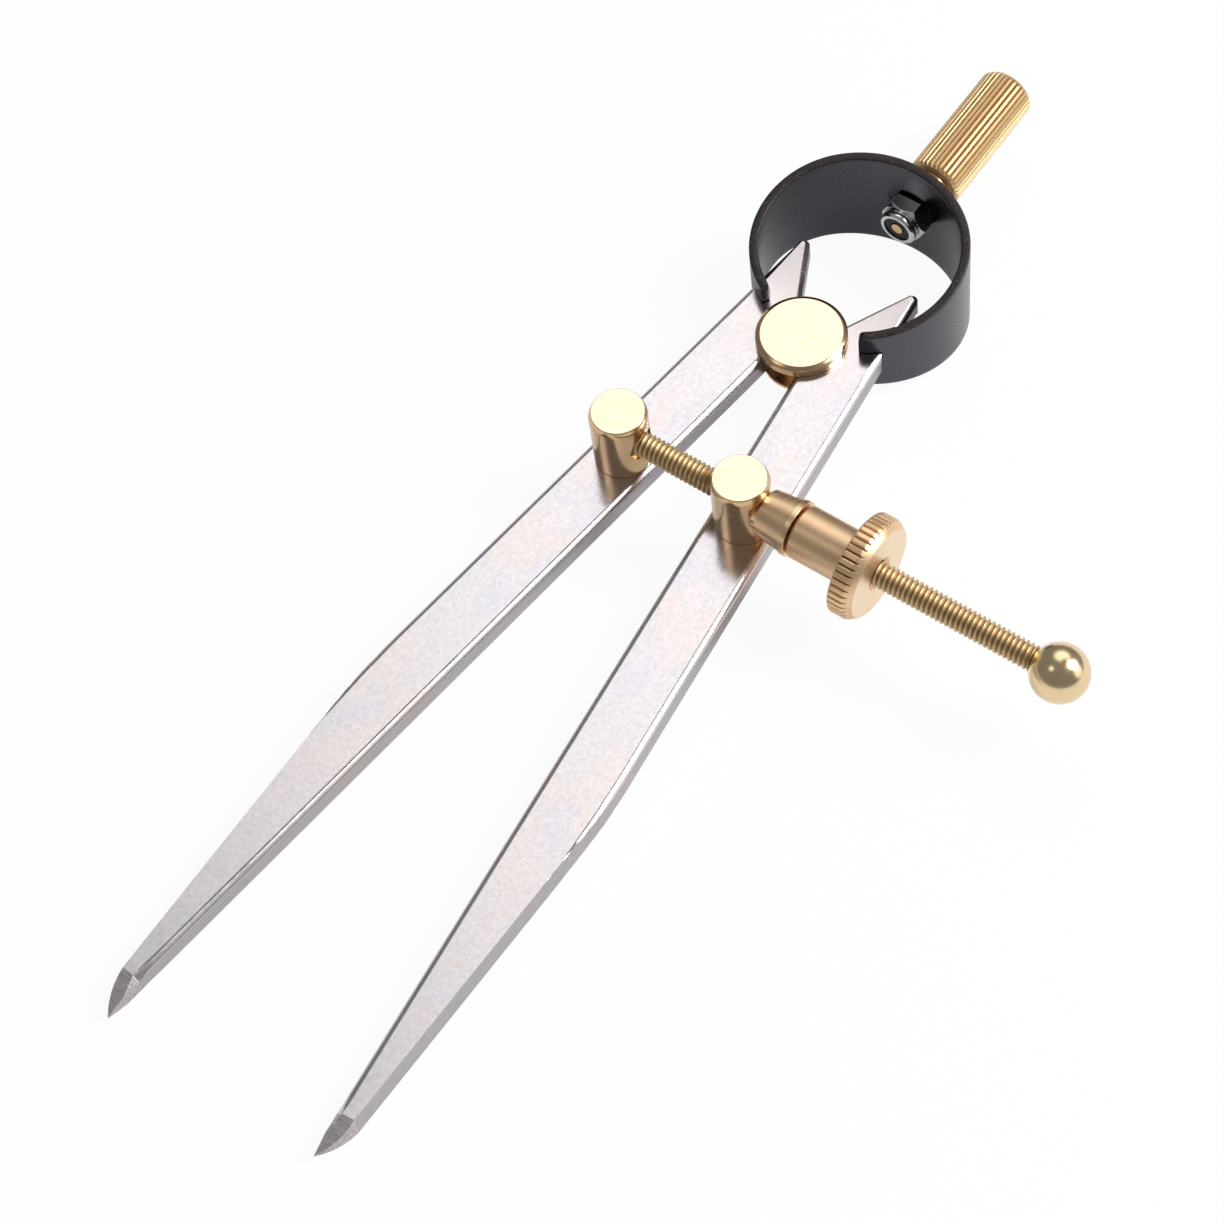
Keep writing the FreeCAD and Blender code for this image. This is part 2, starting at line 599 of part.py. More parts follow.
def post_washer(side):
    low = LEG_REAR_Z - RUNNING - WASHER_THICKNESS
    high = LEG_REAR_Z - RUNNING
    return lathe([(POST_SCREW_RADIUS, low), (WASHER_RADIUS, low), (WASHER_RADIUS, high),
                  (POST_SCREW_RADIUS, high)], vec(side * POST_X, POST_Y), Z)


def post_screw(side):
    seat = LEG_REAR_Z - RUNNING - WASHER_THICKNESS
    low = seat - POST_SCREW_HEAD_HEIGHT
    high = LEG_REAR_Z - RUNNING + POST_SCREW_LENGTH
    return lathe([(0, low), (POST_SCREW_HEAD_RADIUS, low), (POST_SCREW_HEAD_RADIUS, seat),
                  (POST_SCREW_RADIUS, seat), (POST_SCREW_RADIUS, high), (0, high)],
                 vec(side * POST_X, POST_Y), Z)


def set_screw():
    start = post_axis_point(-1) + Y * SCREW_RADIUS
    return rod(SET_SCREW_RADIUS, start, Y, POST_RADIUS - SCREW_RADIUS - SET_SCREW_RECESS)


def adjusting_screw():
    low = -SCREW_TAIL
    high = SCREW_LENGTH + BALL_BORE_DEPTH
    edge = SCREW_END_CHAMFER
    return lathe([(0, low), (SCREW_RADIUS - edge, low), (SCREW_RADIUS, low + edge),
                  (SCREW_RADIUS, high - edge), (SCREW_RADIUS - edge, high), (0, high)],
                 post_axis_point(-1), X)


def ball_end():
    centre = post_axis_point(-1) + X * SCREW_LENGTH
    body = Part.makeSphere(BALL_RADIUS, centre)
    return body.cut(adjusting_screw())


def thrust_sleeve():
    """A cone that widens from the post to a thin flange, with a nose inside the post."""
    wide = SLEEVE_LENGTH - SLEEVE_FLANGE_WIDTH
    return lathe([(SCREW_BORE, -NOSE_LENGTH), (NOSE_RADIUS, -NOSE_LENGTH), (NOSE_RADIUS, 0),
                  (SLEEVE_RADIUS_POST, 0), (SLEEVE_RADIUS_WHEEL, wide),
                  (SLEEVE_FLANGE_RADIUS, wide), (SLEEVE_FLANGE_RADIUS, SLEEVE_LENGTH),
                  (SCREW_BORE, SLEEVE_LENGTH)], post_axis_point(1) + X * POST_RADIUS, X)


def adjusting_wheel():
    """The nut: a long plain barrel and a toothed rim with bevelled edges."""
    start = post_axis_point(1) + X * (POST_RADIUS + SLEEVE_LENGTH + WHEEL_THRUST_GAP)
    rim = BARREL_LENGTH
    end = rim + WHEEL_WIDTH
    barrel = lathe([(SCREW_BORE, 0), (BARREL_RADIUS - BARREL_EDGE, 0),
                    (BARREL_RADIUS, BARREL_EDGE), (BARREL_RADIUS, rim), (SCREW_BORE, rim)],
                   start, X)
    teeth = toothed_face(WHEEL_RADIUS, WHEEL_TOOTH_DEPTH, WHEEL_TEETH, WHEEL_CREST_SHARE)
    teeth = slab(teeth, rim, end)
    back, sink = WHEEL_BEVEL_BACK, WHEEL_COUNTERSINK
    envelope = faceted([(WHEEL_RADIUS - back, rim), (WHEEL_RADIUS, rim + back),
                        (WHEEL_RADIUS, end - WHEEL_BEVEL_AXIAL),
                        (WHEEL_RADIUS - WHEEL_BEVEL_RADIAL, end)], WHEEL_TEETH)
    hole = lathe([(0, rim), (SCREW_BORE, rim), (SCREW_BORE, end - sink),
                  (SCREW_BORE + sink, end), (0, end)], ORIGIN, Z)
    rim_piece = aim(teeth.common(envelope).cut(hole), X, start)
    return barrel.fuse(rim_piece).removeSplitter()


NODES = {
    "left_leg": left_leg(),
    "right_leg": mirrored(left_leg()),
    "pivot_core": pivot_core(),
    "pivot_cap": pivot_cap(),
    "pivot_screw": pivot_screw(),
    "bow_spring": bow_spring(),
    "handle": handle(),
    "lock_nut": lock_nut(),
    "nut_insert": nut_insert(),
    "left_post": left_post(),
    "left_post_washer": post_washer(-1),
    "left_post_screw": post_screw(-1),
    "set_screw": set_screw(),
    "adjusting_screw": adjusting_screw(),
    "ball_end": ball_end(),
    "right_post": right_post(),
    "right_post_washer": post_washer(1),
    "right_post_screw": post_screw(1),
    "thrust_sleeve": thrust_sleeve(),
    "adjusting_wheel": adjusting_wheel(),
}

for name, shape in NODES.items():
    solids = shape.Solids
    piece = solids[0] if len(solids) == 1 else Part.makeCompound(solids)
    print(f"{name}: {len(solids)} solid, {piece.Volume:.1f} mm3, valid {piece.isValid()}")
    piece.exportStep(f"parts/{name}.step")
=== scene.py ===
# Looks of the wing divider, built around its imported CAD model.
#
# Lengths here are millimetres, and MM turns them into metres where a mesh is made. The frame is
# the CAD model's: the origin is the centre of the pivot's rear face, +Z points to the front of
# the tool, +Y to the handle, and the adjusting screw runs along +X.
from math import atan2, ceil, cos, pi, radians, sin, sqrt, tan

import bmesh
import bpy
import numpy as np
from mathutils import Matrix, Vector


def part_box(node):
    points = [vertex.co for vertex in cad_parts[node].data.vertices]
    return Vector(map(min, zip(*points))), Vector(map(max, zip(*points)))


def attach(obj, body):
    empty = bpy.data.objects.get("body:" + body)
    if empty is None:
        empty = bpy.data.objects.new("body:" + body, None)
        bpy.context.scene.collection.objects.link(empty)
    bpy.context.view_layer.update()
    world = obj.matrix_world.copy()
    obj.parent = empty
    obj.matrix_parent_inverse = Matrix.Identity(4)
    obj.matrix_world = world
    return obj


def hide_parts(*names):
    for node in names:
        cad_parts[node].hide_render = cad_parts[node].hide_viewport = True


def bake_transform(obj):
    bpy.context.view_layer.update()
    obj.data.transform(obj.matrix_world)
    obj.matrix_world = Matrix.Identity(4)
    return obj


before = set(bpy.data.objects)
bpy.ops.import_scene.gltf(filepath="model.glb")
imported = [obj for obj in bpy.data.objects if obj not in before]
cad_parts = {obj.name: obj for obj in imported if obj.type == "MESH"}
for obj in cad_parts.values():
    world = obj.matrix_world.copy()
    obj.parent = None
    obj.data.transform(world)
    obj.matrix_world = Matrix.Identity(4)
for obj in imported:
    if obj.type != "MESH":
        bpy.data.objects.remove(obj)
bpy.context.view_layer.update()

MM = 0.001
NEAR = 0.03                # how close a vertex has to lie to count as the one looked for
SAME_PLACE = 0.002         # vertices closer than this are one
SAME_FACE = 0.4            # degrees between faces that are joined to one again
X, Y, Z = Vector((1, 0, 0)), Vector((0, 1, 0)), Vector((0, 0, 1))


def box_mm(node):
    low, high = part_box(node)
    return low / MM, high / MM


def middle(node):
    low, high = box_mm(node)
    return (low + high) / 2


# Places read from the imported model
SCREW_LOW, SCREW_HIGH = box_mm("adjusting_screw")
SCREW_CENTRE = middle("adjusting_screw")
BALL_HIGH = box_mm("ball_end")[1]
WHEEL_LOW, WHEEL_HIGH = box_mm("adjusting_wheel")
HANDLE_LOW, HANDLE_HIGH = box_mm("handle")
BOW_LOW, BOW_HIGH = box_mm("bow_spring")
NUT_LOW = box_mm("lock_nut")[0]
RING_LOW = box_mm("nut_insert")[0]
SET_LOW, SET_HIGH = box_mm("set_screw")
LEG_LOW, LEG_HIGH = box_mm("left_leg")
MID_Z = middle("left_leg").z

# Sizes that the CAD source has too
REST_ANGLE = 6.4
LEG_LENGTH = 145.0
LEG_INNER = 2.0            # inner and outer side, from the pivot axis
LEG_OUTER = 12.45
LEG_CHAMFER = 0.95
TAPER_START = 80.9
KNEE_REACH = 3.7
POINT_LENGTH = 6.3
POINT_WIDTH = 2.9
BAR_FOOT = POINT_LENGTH - LEG_LENGTH
SPRING_CENTRE_Y = 15.9
SIDE_CENTRE_X = 1.7513
SIDE_RADIUS = 15.2987
CROWN_CENTRE_Y = 13.6503
CROWN_RADIUS = 18.1497
JOIN_TURN = 37.9
ROOT_TURN = 140.070
END_TURN = 152.804
SPRING_THICKNESS = 1.4
SPRING_CROWN_WIDTH = 19.8
SPRING_END_WIDTH = 11.7
SLOT_HALF = 2.35           # half the height of the slot in the bow's ends
PRONG_CORNER = 0.9
HANDLE_RADIUS = 4.45
HANDLE_LENGTH = 21.9
HANDLE_CHAMFER = 0.35
HANDLE_FLUTES = 33
FLUTE_DEPTH = 0.35
NECK_RADIUS = 3.3
STUD_RADIUS = 2.0
SCREW_PITCH = 0.8
THREAD_DEPTH = 0.5
BARREL_RADIUS = 4.15
BARREL_LENGTH = 9.7
WHEEL_RADIUS = 8.05
WHEEL_TEETH = 44
TOOTH_DEPTH = 0.45
BEVEL_AXIAL = 1.4
BEVEL_RADIAL = 0.95
COUNTERSINK = 0.6
SCREW_BORE = 2.08
BALL_RADIUS = 4.4

# The legs' long edges, which are worn round
BAR_TOP = -3.65            # where the bar with round edges begins, below the CAD leg's horn
EDGE_RADIUS = 1.15
EDGE_STEPS = 8
WORN_RUNOUT = 15.5         # distance below the taper's start in which the round edge runs out
WORN_BEVEL = EDGE_RADIUS * (2 - sqrt(2))   # the bevel that lies against the round edge
WORN_SHARE = EDGE_RADIUS * tan(pi / 8)     # how much of each of its edges is rounded
FOOT_BLEND = 3             # distance above the ground point in which the edge turns round
LONG_EDGE = 4              # shortest edge that counts as one along the leg
HORN_EDGE = 0.2            # rounding of the horn's edges
HORN_EDGE_LENGTH = 1.2     # shortest edge of the horn that is rounded
HORN_FOOT = -20            # the horn's edges reach above this
# Stretches of the bar, and the number of outlines in each: closest about the taper's start
BAR_PLACES = ((BAR_TOP, -9, 7), (-16, -72, 8), (-76, -106, 41), (-110, -134, 7),
              (-135, BAR_FOOT, 6))

# Camera, fitted to the photograph
CAMERA_PLACE = Vector((176.24, -236.15, 423.15))
CAMERA_RIGHT = Vector((0.8111, 0.5788, -0.0836))
CAMERA_UP = Vector((-0.465, 0.725, 0.5081))
CAMERA_AHEAD = Vector((-0.3547, 0.3733, -0.8572))
CAMERA_LENS = 99.12
SENSOR = 36.0

# Colours
STEEL_WARM = (0.680, 0.610, 0.592, 1)
STEEL_COOL = (0.622, 0.604, 0.643, 1)
STEEL_BASE = (0.65, 0.605, 0.615, 1)
STEEL_DARK = (0.22, 0.19, 0.185, 1)
# Painted shade on the horns, near the bow's prongs and the pivot cap.
STEEL_HORN_SHADE = (0.33, 0.30, 0.295, 1)
STEEL_GROUND = (0.40, 0.36, 0.35, 1)
BRASS = (0.86, 0.60, 0.36, 1)
# A paler brass painted on the faces that look along a piece's axis: painted light on the tops.
BRASS_PAINTED_TOP_LIGHT = (0.90, 0.735, 0.525, 1)
# A darker brass for the sides of the posts, pivot and washers: painted shade.
BRASS_PAINTED_SIDE_SHADE = (0.67, 0.45, 0.26, 1)
BRASS_DEEP = (0.72, 0.43, 0.20, 1)
# Painted shade in the grooves of the wheel, grip and thread.
BRASS_GROOVE_SHADE = (0.27, 0.14, 0.055, 1)
BRASS_GREEN = (0.81, 0.63, 0.38, 1)
BRASS_HANDLED = (0.60, 0.42, 0.225, 1)
BRASS_DULL = (0.64, 0.48, 0.27, 1)
BLACK_FACE = (0.086, 0.083, 0.096, 1)
BLACK_RIM = (0.052, 0.044, 0.043, 1)
RIM_SPECK = (0.26, 0.225, 0.21, 1)
ZINC = (0.80, 0.81, 0.83, 1)
NYLON = (0.012, 0.012, 0.014, 1)
OXIDE = (0.035, 0.035, 0.038, 1)
PLATED = (0.70, 0.69, 0.68, 1)


# Nodes

class Shader:
    """A material whose nodes are added by short calls. Vectors are in millimetres."""

    def __init__(self, name):
        self.material = bpy.data.materials.new(name)
        self.material.use_nodes = True
        self.tree = self.material.node_tree
        self.surface = self.tree.nodes["Principled BSDF"]
        self.coordinates = self.tree.nodes.new("ShaderNodeTexCoord")
        self.place = self.vector("SCALE", self.coordinates.outputs["Object"], scale=1 / MM)
        self.facing = self.coordinates.outputs["Normal"]

    def feed(self, socket, value):
        if isinstance(value, bpy.types.NodeSocket):
            self.tree.links.new(value, socket)
        else:
            socket.default_value = value

    def math(self, operation, *values):
        node = self.tree.nodes.new("ShaderNodeMath")
        node.operation = operation
        for socket, value in zip(node.inputs, values):
            self.feed(socket, value)
        return node.outputs[0]

    def vector(self, operation, *values, scale=None):
        node = self.tree.nodes.new("ShaderNodeVectorMath")
        node.operation = operation
        for socket, value in zip(node.inputs, values):
            self.feed(socket, value)
        if scale is not None:
            self.feed(node.inputs["Scale"], scale)
        return node.outputs["Value" if operation in ("DOT_PRODUCT", "LENGTH") else "Vector"]

    def combine(self, x, y, z):
        node = self.tree.nodes.new("ShaderNodeCombineXYZ")
        for socket, value in zip(node.inputs, (x, y, z)):
            self.feed(socket, value)
        return node.outputs[0]

    def part(self, vector, axis):
        node = self.tree.nodes.new("ShaderNodeSeparateXYZ")
        self.feed(node.inputs[0], vector)
        return node.outputs[axis]

    def noise(self, vector, scale, detail=3.0, roughness=0.5):
        node = self.tree.nodes.new("ShaderNodeTexNoise")
        self.feed(node.inputs["Vector"], vector)
        node.inputs["Scale"].default_value = scale
        node.inputs["Detail"].default_value = detail
        node.inputs["Roughness"].default_value = roughness
        return node.outputs["Fac"]

    def cells(self, vector, scale):
        node = self.tree.nodes.new("ShaderNodeTexVoronoi")
        self.feed(node.inputs["Vector"], vector)
        node.inputs["Scale"].default_value = scale
        return node.outputs["Distance"]

    def spread(self, value, low, high, to_low=0.0, to_high=1.0):
        """Maps low..high to to_low..to_high, smoothly and without overshoot."""
        node = self.tree.nodes.new("ShaderNodeMapRange")
        node.interpolation_type = "SMOOTHSTEP"
        for socket, number in zip(node.inputs, (value, low, high, to_low, to_high)):
            self.feed(socket, number)
        return node.outputs[0]

    def mix(self, share, a, b):
        node = self.tree.nodes.new("ShaderNodeMix")
        node.data_type = "RGBA"
        self.feed(node.inputs["Factor"], share)
        self.feed(node.inputs[6], a)
        self.feed(node.inputs[7], b)
        return node.outputs[2]

    def cavity(self):
        """How far a vertex lies below its piece's envelope, in millimetres."""
        node = self.tree.nodes.new("ShaderNodeAttribute")
        node.attribute_name = "cavity"
        return node.outputs["Fac"]

    def bump(self, height, depth, below=None):
        """Height is 0..1 and depth is in millimetres."""
        node = self.tree.nodes.new("ShaderNodeBump")
        node.inputs["Distance"].default_value = depth * MM
        self.feed(node.inputs["Height"], height)
        if below is not None:
            self.feed(node.inputs["Normal"], below)
        return node.outputs[0]

    def about(self, base, axis):
        """Distance from an axis, distance along it, and the turn about it."""
        offset = self.vector("SUBTRACT", self.place, tuple(base))
        along = self.vector("DOT_PRODUCT", offset, tuple(axis))
        on_axis = self.vector("SCALE", tuple(axis), scale=along)
        radial = self.vector("SUBTRACT", offset, on_axis)
        side = X if abs(axis.dot(X)) < 0.5 else Z
        other = axis.cross(side)
        turn = self.math("ARCTAN2", self.vector("DOT_PRODUCT", radial, tuple(other)),
                         self.vector("DOT_PRODUCT", radial, tuple(side)))
        return self.vector("LENGTH", radial), along, turn

    def lathe_noise(self, place, fine, around, detail, roughness):
        """Noise drawn out round an axis. Place is what about() gives."""
        radius, along, turn = place
        spot = self.combine(self.math("MULTIPLY", radius, fine),
                            self.math("MULTIPLY", along, fine),
                            self.math("MULTIPLY", turn, around))
        return self.noise(spot, 1.0, detail, roughness)

    def with_painted_top_light(self, colour, top, axis):
        """A colour, with a paler one painted on the faces that look along the axis: painted light on
        the tops.
        """
        facing = self.vector("DOT_PRODUCT", self.facing, tuple(axis))
        return self.mix(self.spread(facing, 0.90, 0.99), colour, top)

    def finish(self, colour, roughness, normal=None, metallic=1.0, specular=0.5):
        self.feed(self.surface.inputs["Base Color"], colour)
        self.feed(self.surface.inputs["Roughness"], roughness)
        self.surface.inputs["Metallic"].default_value = metallic
        self.surface.inputs["Specular IOR Level"].default_value = specular
        if normal is not None:
            self.feed(self.surface.inputs["Normal"], normal)
        return self.material


def leg_steel(name, side):
    """Ground and polished bar: mottled flats with a long grain, worn edges that are duller,
    upright sides darkened by painted shade in streaks, painted shade up the horns, and
    coarsely ground points."""
    s = Shader(name)
    lean = radians(REST_ANGLE)
    along = s.vector("DOT_PRODUCT", s.place, (-side * sin(lean), cos(lean), 0))
    across = s.vector("DOT_PRODUCT", s.place, (side * cos(lean), sin(lean), 0))
    height = s.part(s.place, 2)
    level = s.math("ABSOLUTE", s.part(s.facing, 2))
    flat = s.spread(level, 0.90, 0.995)
    upright = s.spread(level, 0.55, 0.15)

    def stretched(share):
        return s.combine(across, s.math("MULTIPLY", along, share), height)

    grain = s.noise(s.combine(s.math("MULTIPLY", across, 7.0), s.math("MULTIPLY", along, 0.15),
                              s.math("MULTIPLY", height, 7.0)), 1.0, 4.0, 0.6)
    patch = s.noise(stretched(0.55), 0.16, 3.0, 0.5)
    cloud = s.noise(stretched(0.5), 0.42, 5.0, 0.68)
    crystal = s.noise(stretched(0.7), 1.5, 4.0, 0.7)
    crackle = s.noise(stretched(0.8), 3.4, 3.0, 0.65)

    tint = s.mix(s.spread(patch, 0.40, 0.60), STEEL_WARM, STEEL_COOL)
    tint = s.mix(s.spread(cloud, 0.36, 0.64, 0.1, 0.6), tint, STEEL_BASE)
    bright = s.math("MULTIPLY", s.spread(crystal, 0.36, 0.64, 0.925, 1.045),
                    s.math("MULTIPLY", s.spread(cloud, 0.36, 0.64, 0.95, 1.035),
                           s.spread(crackle, 0.36, 0.64, 0.96, 1.02)))
    tint = s.mix(flat, tint, s.vector("SCALE", tint, scale=bright))
    # Painted shade: the upright sides are darkened to 62 to 72 percent of their colour, in streaks
    # along the grain.
    side_shade_streaks = s.spread(grain, 0.3, 0.7, 0.62, 0.72)
    tint = s.mix(upright, tint, s.vector("SCALE", tint, scale=side_shade_streaks))
    speck = s.math("MULTIPLY", s.spread(s.cells(s.place, 1.1), 0.11, 0.05),
                   s.spread(s.noise(s.place, 0.30), 0.50, 0.60))
    tint = s.mix(s.math("MULTIPLY", s.math("MULTIPLY", speck, flat), 0.5), tint, STEEL_DARK)
    # Painted shade: the leg grows darker above the pivot, up the horns, broken up by noise.
    horn_shade = s.math("ADD", s.spread(along, -2.0, 12.0, 0.0, 0.55),
                  s.spread(crystal, 0.45, 0.75, -0.12, 0.25))
    tint = s.mix(s.math("MULTIPLY", s.spread(along, -10.0, 4.0), horn_shade), tint, STEEL_HORN_SHADE)

    point = s.spread(along, BAR_FOOT, BAR_FOOT - 0.1)
    ground = s.noise(s.combine(s.math("MULTIPLY", across, 0.5), s.math("MULTIPLY", along, 6.0),
                               s.math("MULTIPLY", height, 0.8)), 1.0, 4.0, 0.7)
    ground_tint = s.mix(s.spread(ground, 0.35, 0.68), STEEL_GROUND, STEEL_BASE)
    tint = s.mix(point, tint, ground_tint)

    rough = s.math("ADD", s.spread(flat, 0.0, 1.0, 0.22, 0.15),
                   s.spread(cloud, 0.3, 0.7, 0.0, 0.06))
    rough = s.math("ADD", rough, s.math("MULTIPLY", upright, 0.06))
    rough = s.math("ADD", rough, s.math("MULTIPLY", point, 0.16))
    normal = s.bump(s.math("MULTIPLY", grain, flat), 0.0008)
    normal = s.bump(s.math("MULTIPLY", crystal, flat), 0.003, normal)
    normal = s.bump(s.math("MULTIPLY", ground, point), 0.03, normal)
    return s.finish(tint, rough, normal)


def turned_brass(name, base, axis, colour=BRASS, top=None, rough=0.16, line_depth=0.0012):
    """Brass off the lathe: fine lines round the axis, faint stains and a few handling marks."""
    s = Shader(name)
    place = s.about(base, axis)
    lines = s.lathe_noise(place, 9.0, 0.35, 3.0, 0.55)
    bands = s.lathe_noise(place, 1.6, 0.2, 2.0, 0.5)
    stain = s.noise(s.place, 0.7, 4.0, 0.6)
    # Painted light: the top colour goes on the faces that look along the axis.
    tint = s.with_painted_top_light(colour, top, axis) if top else colour
    tint = s.mix(s.spread(stain, 0.50, 0.80, 0.0, 0.22), tint, BRASS_DEEP)
    tint = s.mix(s.spread(bands, 0.3, 0.7, 0.0, 0.12), tint, BRASS_GREEN)
    roughness = s.math("ADD", s.spread(bands, 0.3, 0.7, rough, rough + 0.05),
                       s.spread(stain, 0.45, 0.75, 0.0, 0.05))
    marks = s.noise(s.vector("MULTIPLY", s.place, (0.7, 2.6, 1.3)), 1.2, 6.0, 0.75)
    normal = s.bump(lines, line_depth)
    normal = s.bump(s.spread(marks, 0.62, 0.80), 0.002, normal)
    return s.finish(tint, roughness, normal)


def grooved_brass(name, base, axis, depth, rough, colour=BRASS, top=None, drag_depth=0.004):
    """Brass with painted shade down in its grooves, where it is also duller."""
    s = Shader(name)
    stain = s.noise(s.place, 0.9, 4.0, 0.6)
    deep = s.spread(s.cavity(), depth * 0.15, depth * 0.85)
    if top:
        # Painted light: the top colour goes on the faces that look along the axis.
        colour = s.with_painted_top_light(colour, top, axis)
    # Painted shade: the deeper a vertex lies in a groove, the more of the dark brass.
    tint = s.mix(s.math("MULTIPLY", deep, 0.6), colour, BRASS_GROOVE_SHADE)
    tint = s.mix(s.spread(stain, 0.5, 0.8, 0.0, 0.3), tint, BRASS_DEEP)
    roughness = s.spread(deep, 0.0, 1.0, rough, rough + 0.2)
    drag = s.lathe_noise(s.about(base, axis), 7.0, 0.5, 4.0, 0.6)
    return s.finish(tint, roughness, s.bump(drag, drag_depth))


def spring_black():
    """Satin black strip with a drawn grain, and rough rims that show specks of bare metal."""
    s = Shader("spring_black")
    rim = s.spread(s.math("ABSOLUTE", s.part(s.facing, 2)), 0.45, 0.80)
    radius, along, turn = s.about(Vector((0, SPRING_CENTRE_Y, 0)), Z)
    grain = s.noise(s.combine(s.math("MULTIPLY", turn, 6.0), s.math("MULTIPLY", along, 5.0),
                              radius), 1.0, 3.0, 0.6)
    wave = s.noise(s.place, 0.11, 2.0, 0.5)
    peel = s.noise(s.place, 2.6, 3.0, 0.6)
    speck = s.spread(s.noise(s.place, 3.2, 5.0, 0.8), 0.55, 0.72)
    scuff = s.spread(s.noise(s.vector("MULTIPLY", s.place, (1.0, 1.0, 0.35)), 0.5, 5.0, 0.75),
                     0.66, 0.80)
    tint = s.mix(s.math("MULTIPLY", scuff, 0.35), BLACK_FACE, RIM_SPECK)
    tint = s.mix(rim, tint, s.mix(s.math("MULTIPLY", speck, 0.75), BLACK_RIM, RIM_SPECK))
    roughness = s.math("ADD", s.spread(rim, 0.0, 1.0, 0.26, 0.42),
                       s.spread(peel, 0.3, 0.7, 0.0, 0.05))
    normal = s.bump(wave, 0.05)
    normal = s.bump(grain, 0.0008, normal)
    normal = s.bump(s.math("ADD", s.math("MULTIPLY", speck, rim), s.math("MULTIPLY", peel, 0.08)),
                    0.012, normal)
    return s.finish(tint, roughness, normal)


def plated(name, colour, rough, base, axis):
    """Bright plating over turned steel, with a faint haze."""
    s = Shader(name)
    lines = s.lathe_noise(s.about(base, axis), 8.0, 0.5, 3.0, 0.6)
    haze = s.noise(s.place, 1.1, 4.0, 0.6)
    shade = tuple(c * 0.72 for c in colour[:3]) + (1,)
    tint = s.mix(s.spread(haze, 0.45, 0.75, 0.0, 0.6), colour, shade)
    return s.finish(tint, s.spread(haze, 0.3, 0.7, rough, rough + 0.08), s.bump(lines, 0.0015))


def dull(name, colour, rough, metallic=0.0):
    """A matt finish with a fine grain."""
    s = Shader(name)
    grain = s.noise(s.place, 6.0, 4.0, 0.7)
    lift = tuple(min(1.0, c * 1.7) for c in colour[:3]) + (1,)
    tint = s.mix(s.spread(grain, 0.35, 0.75), colour, lift)
    return s.finish(tint, s.spread(grain, 0.3, 0.7, rough, rough + 0.1), s.bump(grain, 0.01),
                    metallic=metallic)


# Meshes

def add_piece(name, mesh, material, body, slot, *stands_for):
    piece = bpy.data.objects.new(name, mesh)
    bpy.context.scene.collection.objects.link(piece)
    mesh.materials.clear()
    mesh.materials.append(material)
    if body:
        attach(piece, body)
    if stands_for:
        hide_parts(*stands_for)
    return piece


def cad_bmesh(mesh, join_flats=True):
    """An editable CAD mesh, with its doubled vertices merged and its flats made whole again."""
    bm = bmesh.new()
    bm.from_mesh(mesh)
    bmesh.ops.remove_doubles(bm, verts=bm.verts, dist=SAME_PLACE * MM)
    if join_flats:
        bmesh.ops.dissolve_limit(bm, angle_limit=radians(SAME_FACE), verts=bm.verts,
                                 edges=bm.edges)
    return bm


def to_mesh(bm, name):
    mesh = bpy.data.meshes.new(name)
    bm.to_mesh(mesh)
    bm.free()
    return mesh


def shade(mesh, limit=35):
    """Smooth shading, with edges sharper than the limit kept sharp."""
    bm = bmesh.new()
    bm.from_mesh(mesh)
    for face in bm.faces:
        face.smooth = True
    for edge in bm.edges:
        edge.smooth = not edge.is_manifold or edge.calc_face_angle(0) < radians(limit)
    bm.to_mesh(mesh)
    bm.free()
    return mesh


def softened(node, width, pick=None, limit=28, segments=2, source=None, crisp=50):
    """A copy of a CAD node's mesh with its sharp edges rounded, as real edges are."""
    bm = cad_bmesh(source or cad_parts[node].data)
    edges = [e for e in bm.edges if e.is_manifold and e.calc_face_angle() > radians(limit)]
    if pick:
        edges = [e for e in edges if pick(e)]
    bmesh.ops.bevel(bm, geom=edges, offset=width * MM, segments=segments, profile=0.5,
                    affect="EDGES", clamp_overlap=False)
    bmesh.ops.recalc_face_normals(bm, faces=bm.faces)
    return shade(to_mesh(bm, node), crisp)


def weighted(piece):
    """Keeps the flats flat where they run into rounded edges."""
    modifier = piece.modifiers.new("weighted", "WEIGHTED_NORMAL")
    modifier.keep_sharp = True
    modifier.weight = 80
    return piece


def rounded(profile, radius, steps=4):
    """Rounds the inner corners of a line of (radius, distance) points."""
    points = [Vector(p) for p in profile]
    made = [points[0]]
    for before, corner, after in zip(points, points[1:], points[2:]):
        to_before, to_after = before - corner, after - corner
        turn = to_before.angle(to_after)
        if abs(turn - pi) < 0.02:
            made.append(corner)
            continue
        cut = min(radius / tan(turn / 2), 0.45 * to_before.length, 0.45 * to_after.length)
        start = corner + to_before.normalized() * cut
        stop = corner + to_after.normalized() * cut
        for i in range(steps + 1):
            t = i / steps
            made.append(start * (1 - t) ** 2 + corner * 2 * t * (1 - t) + stop * t ** 2)
    made.append(points[-1])
    return made


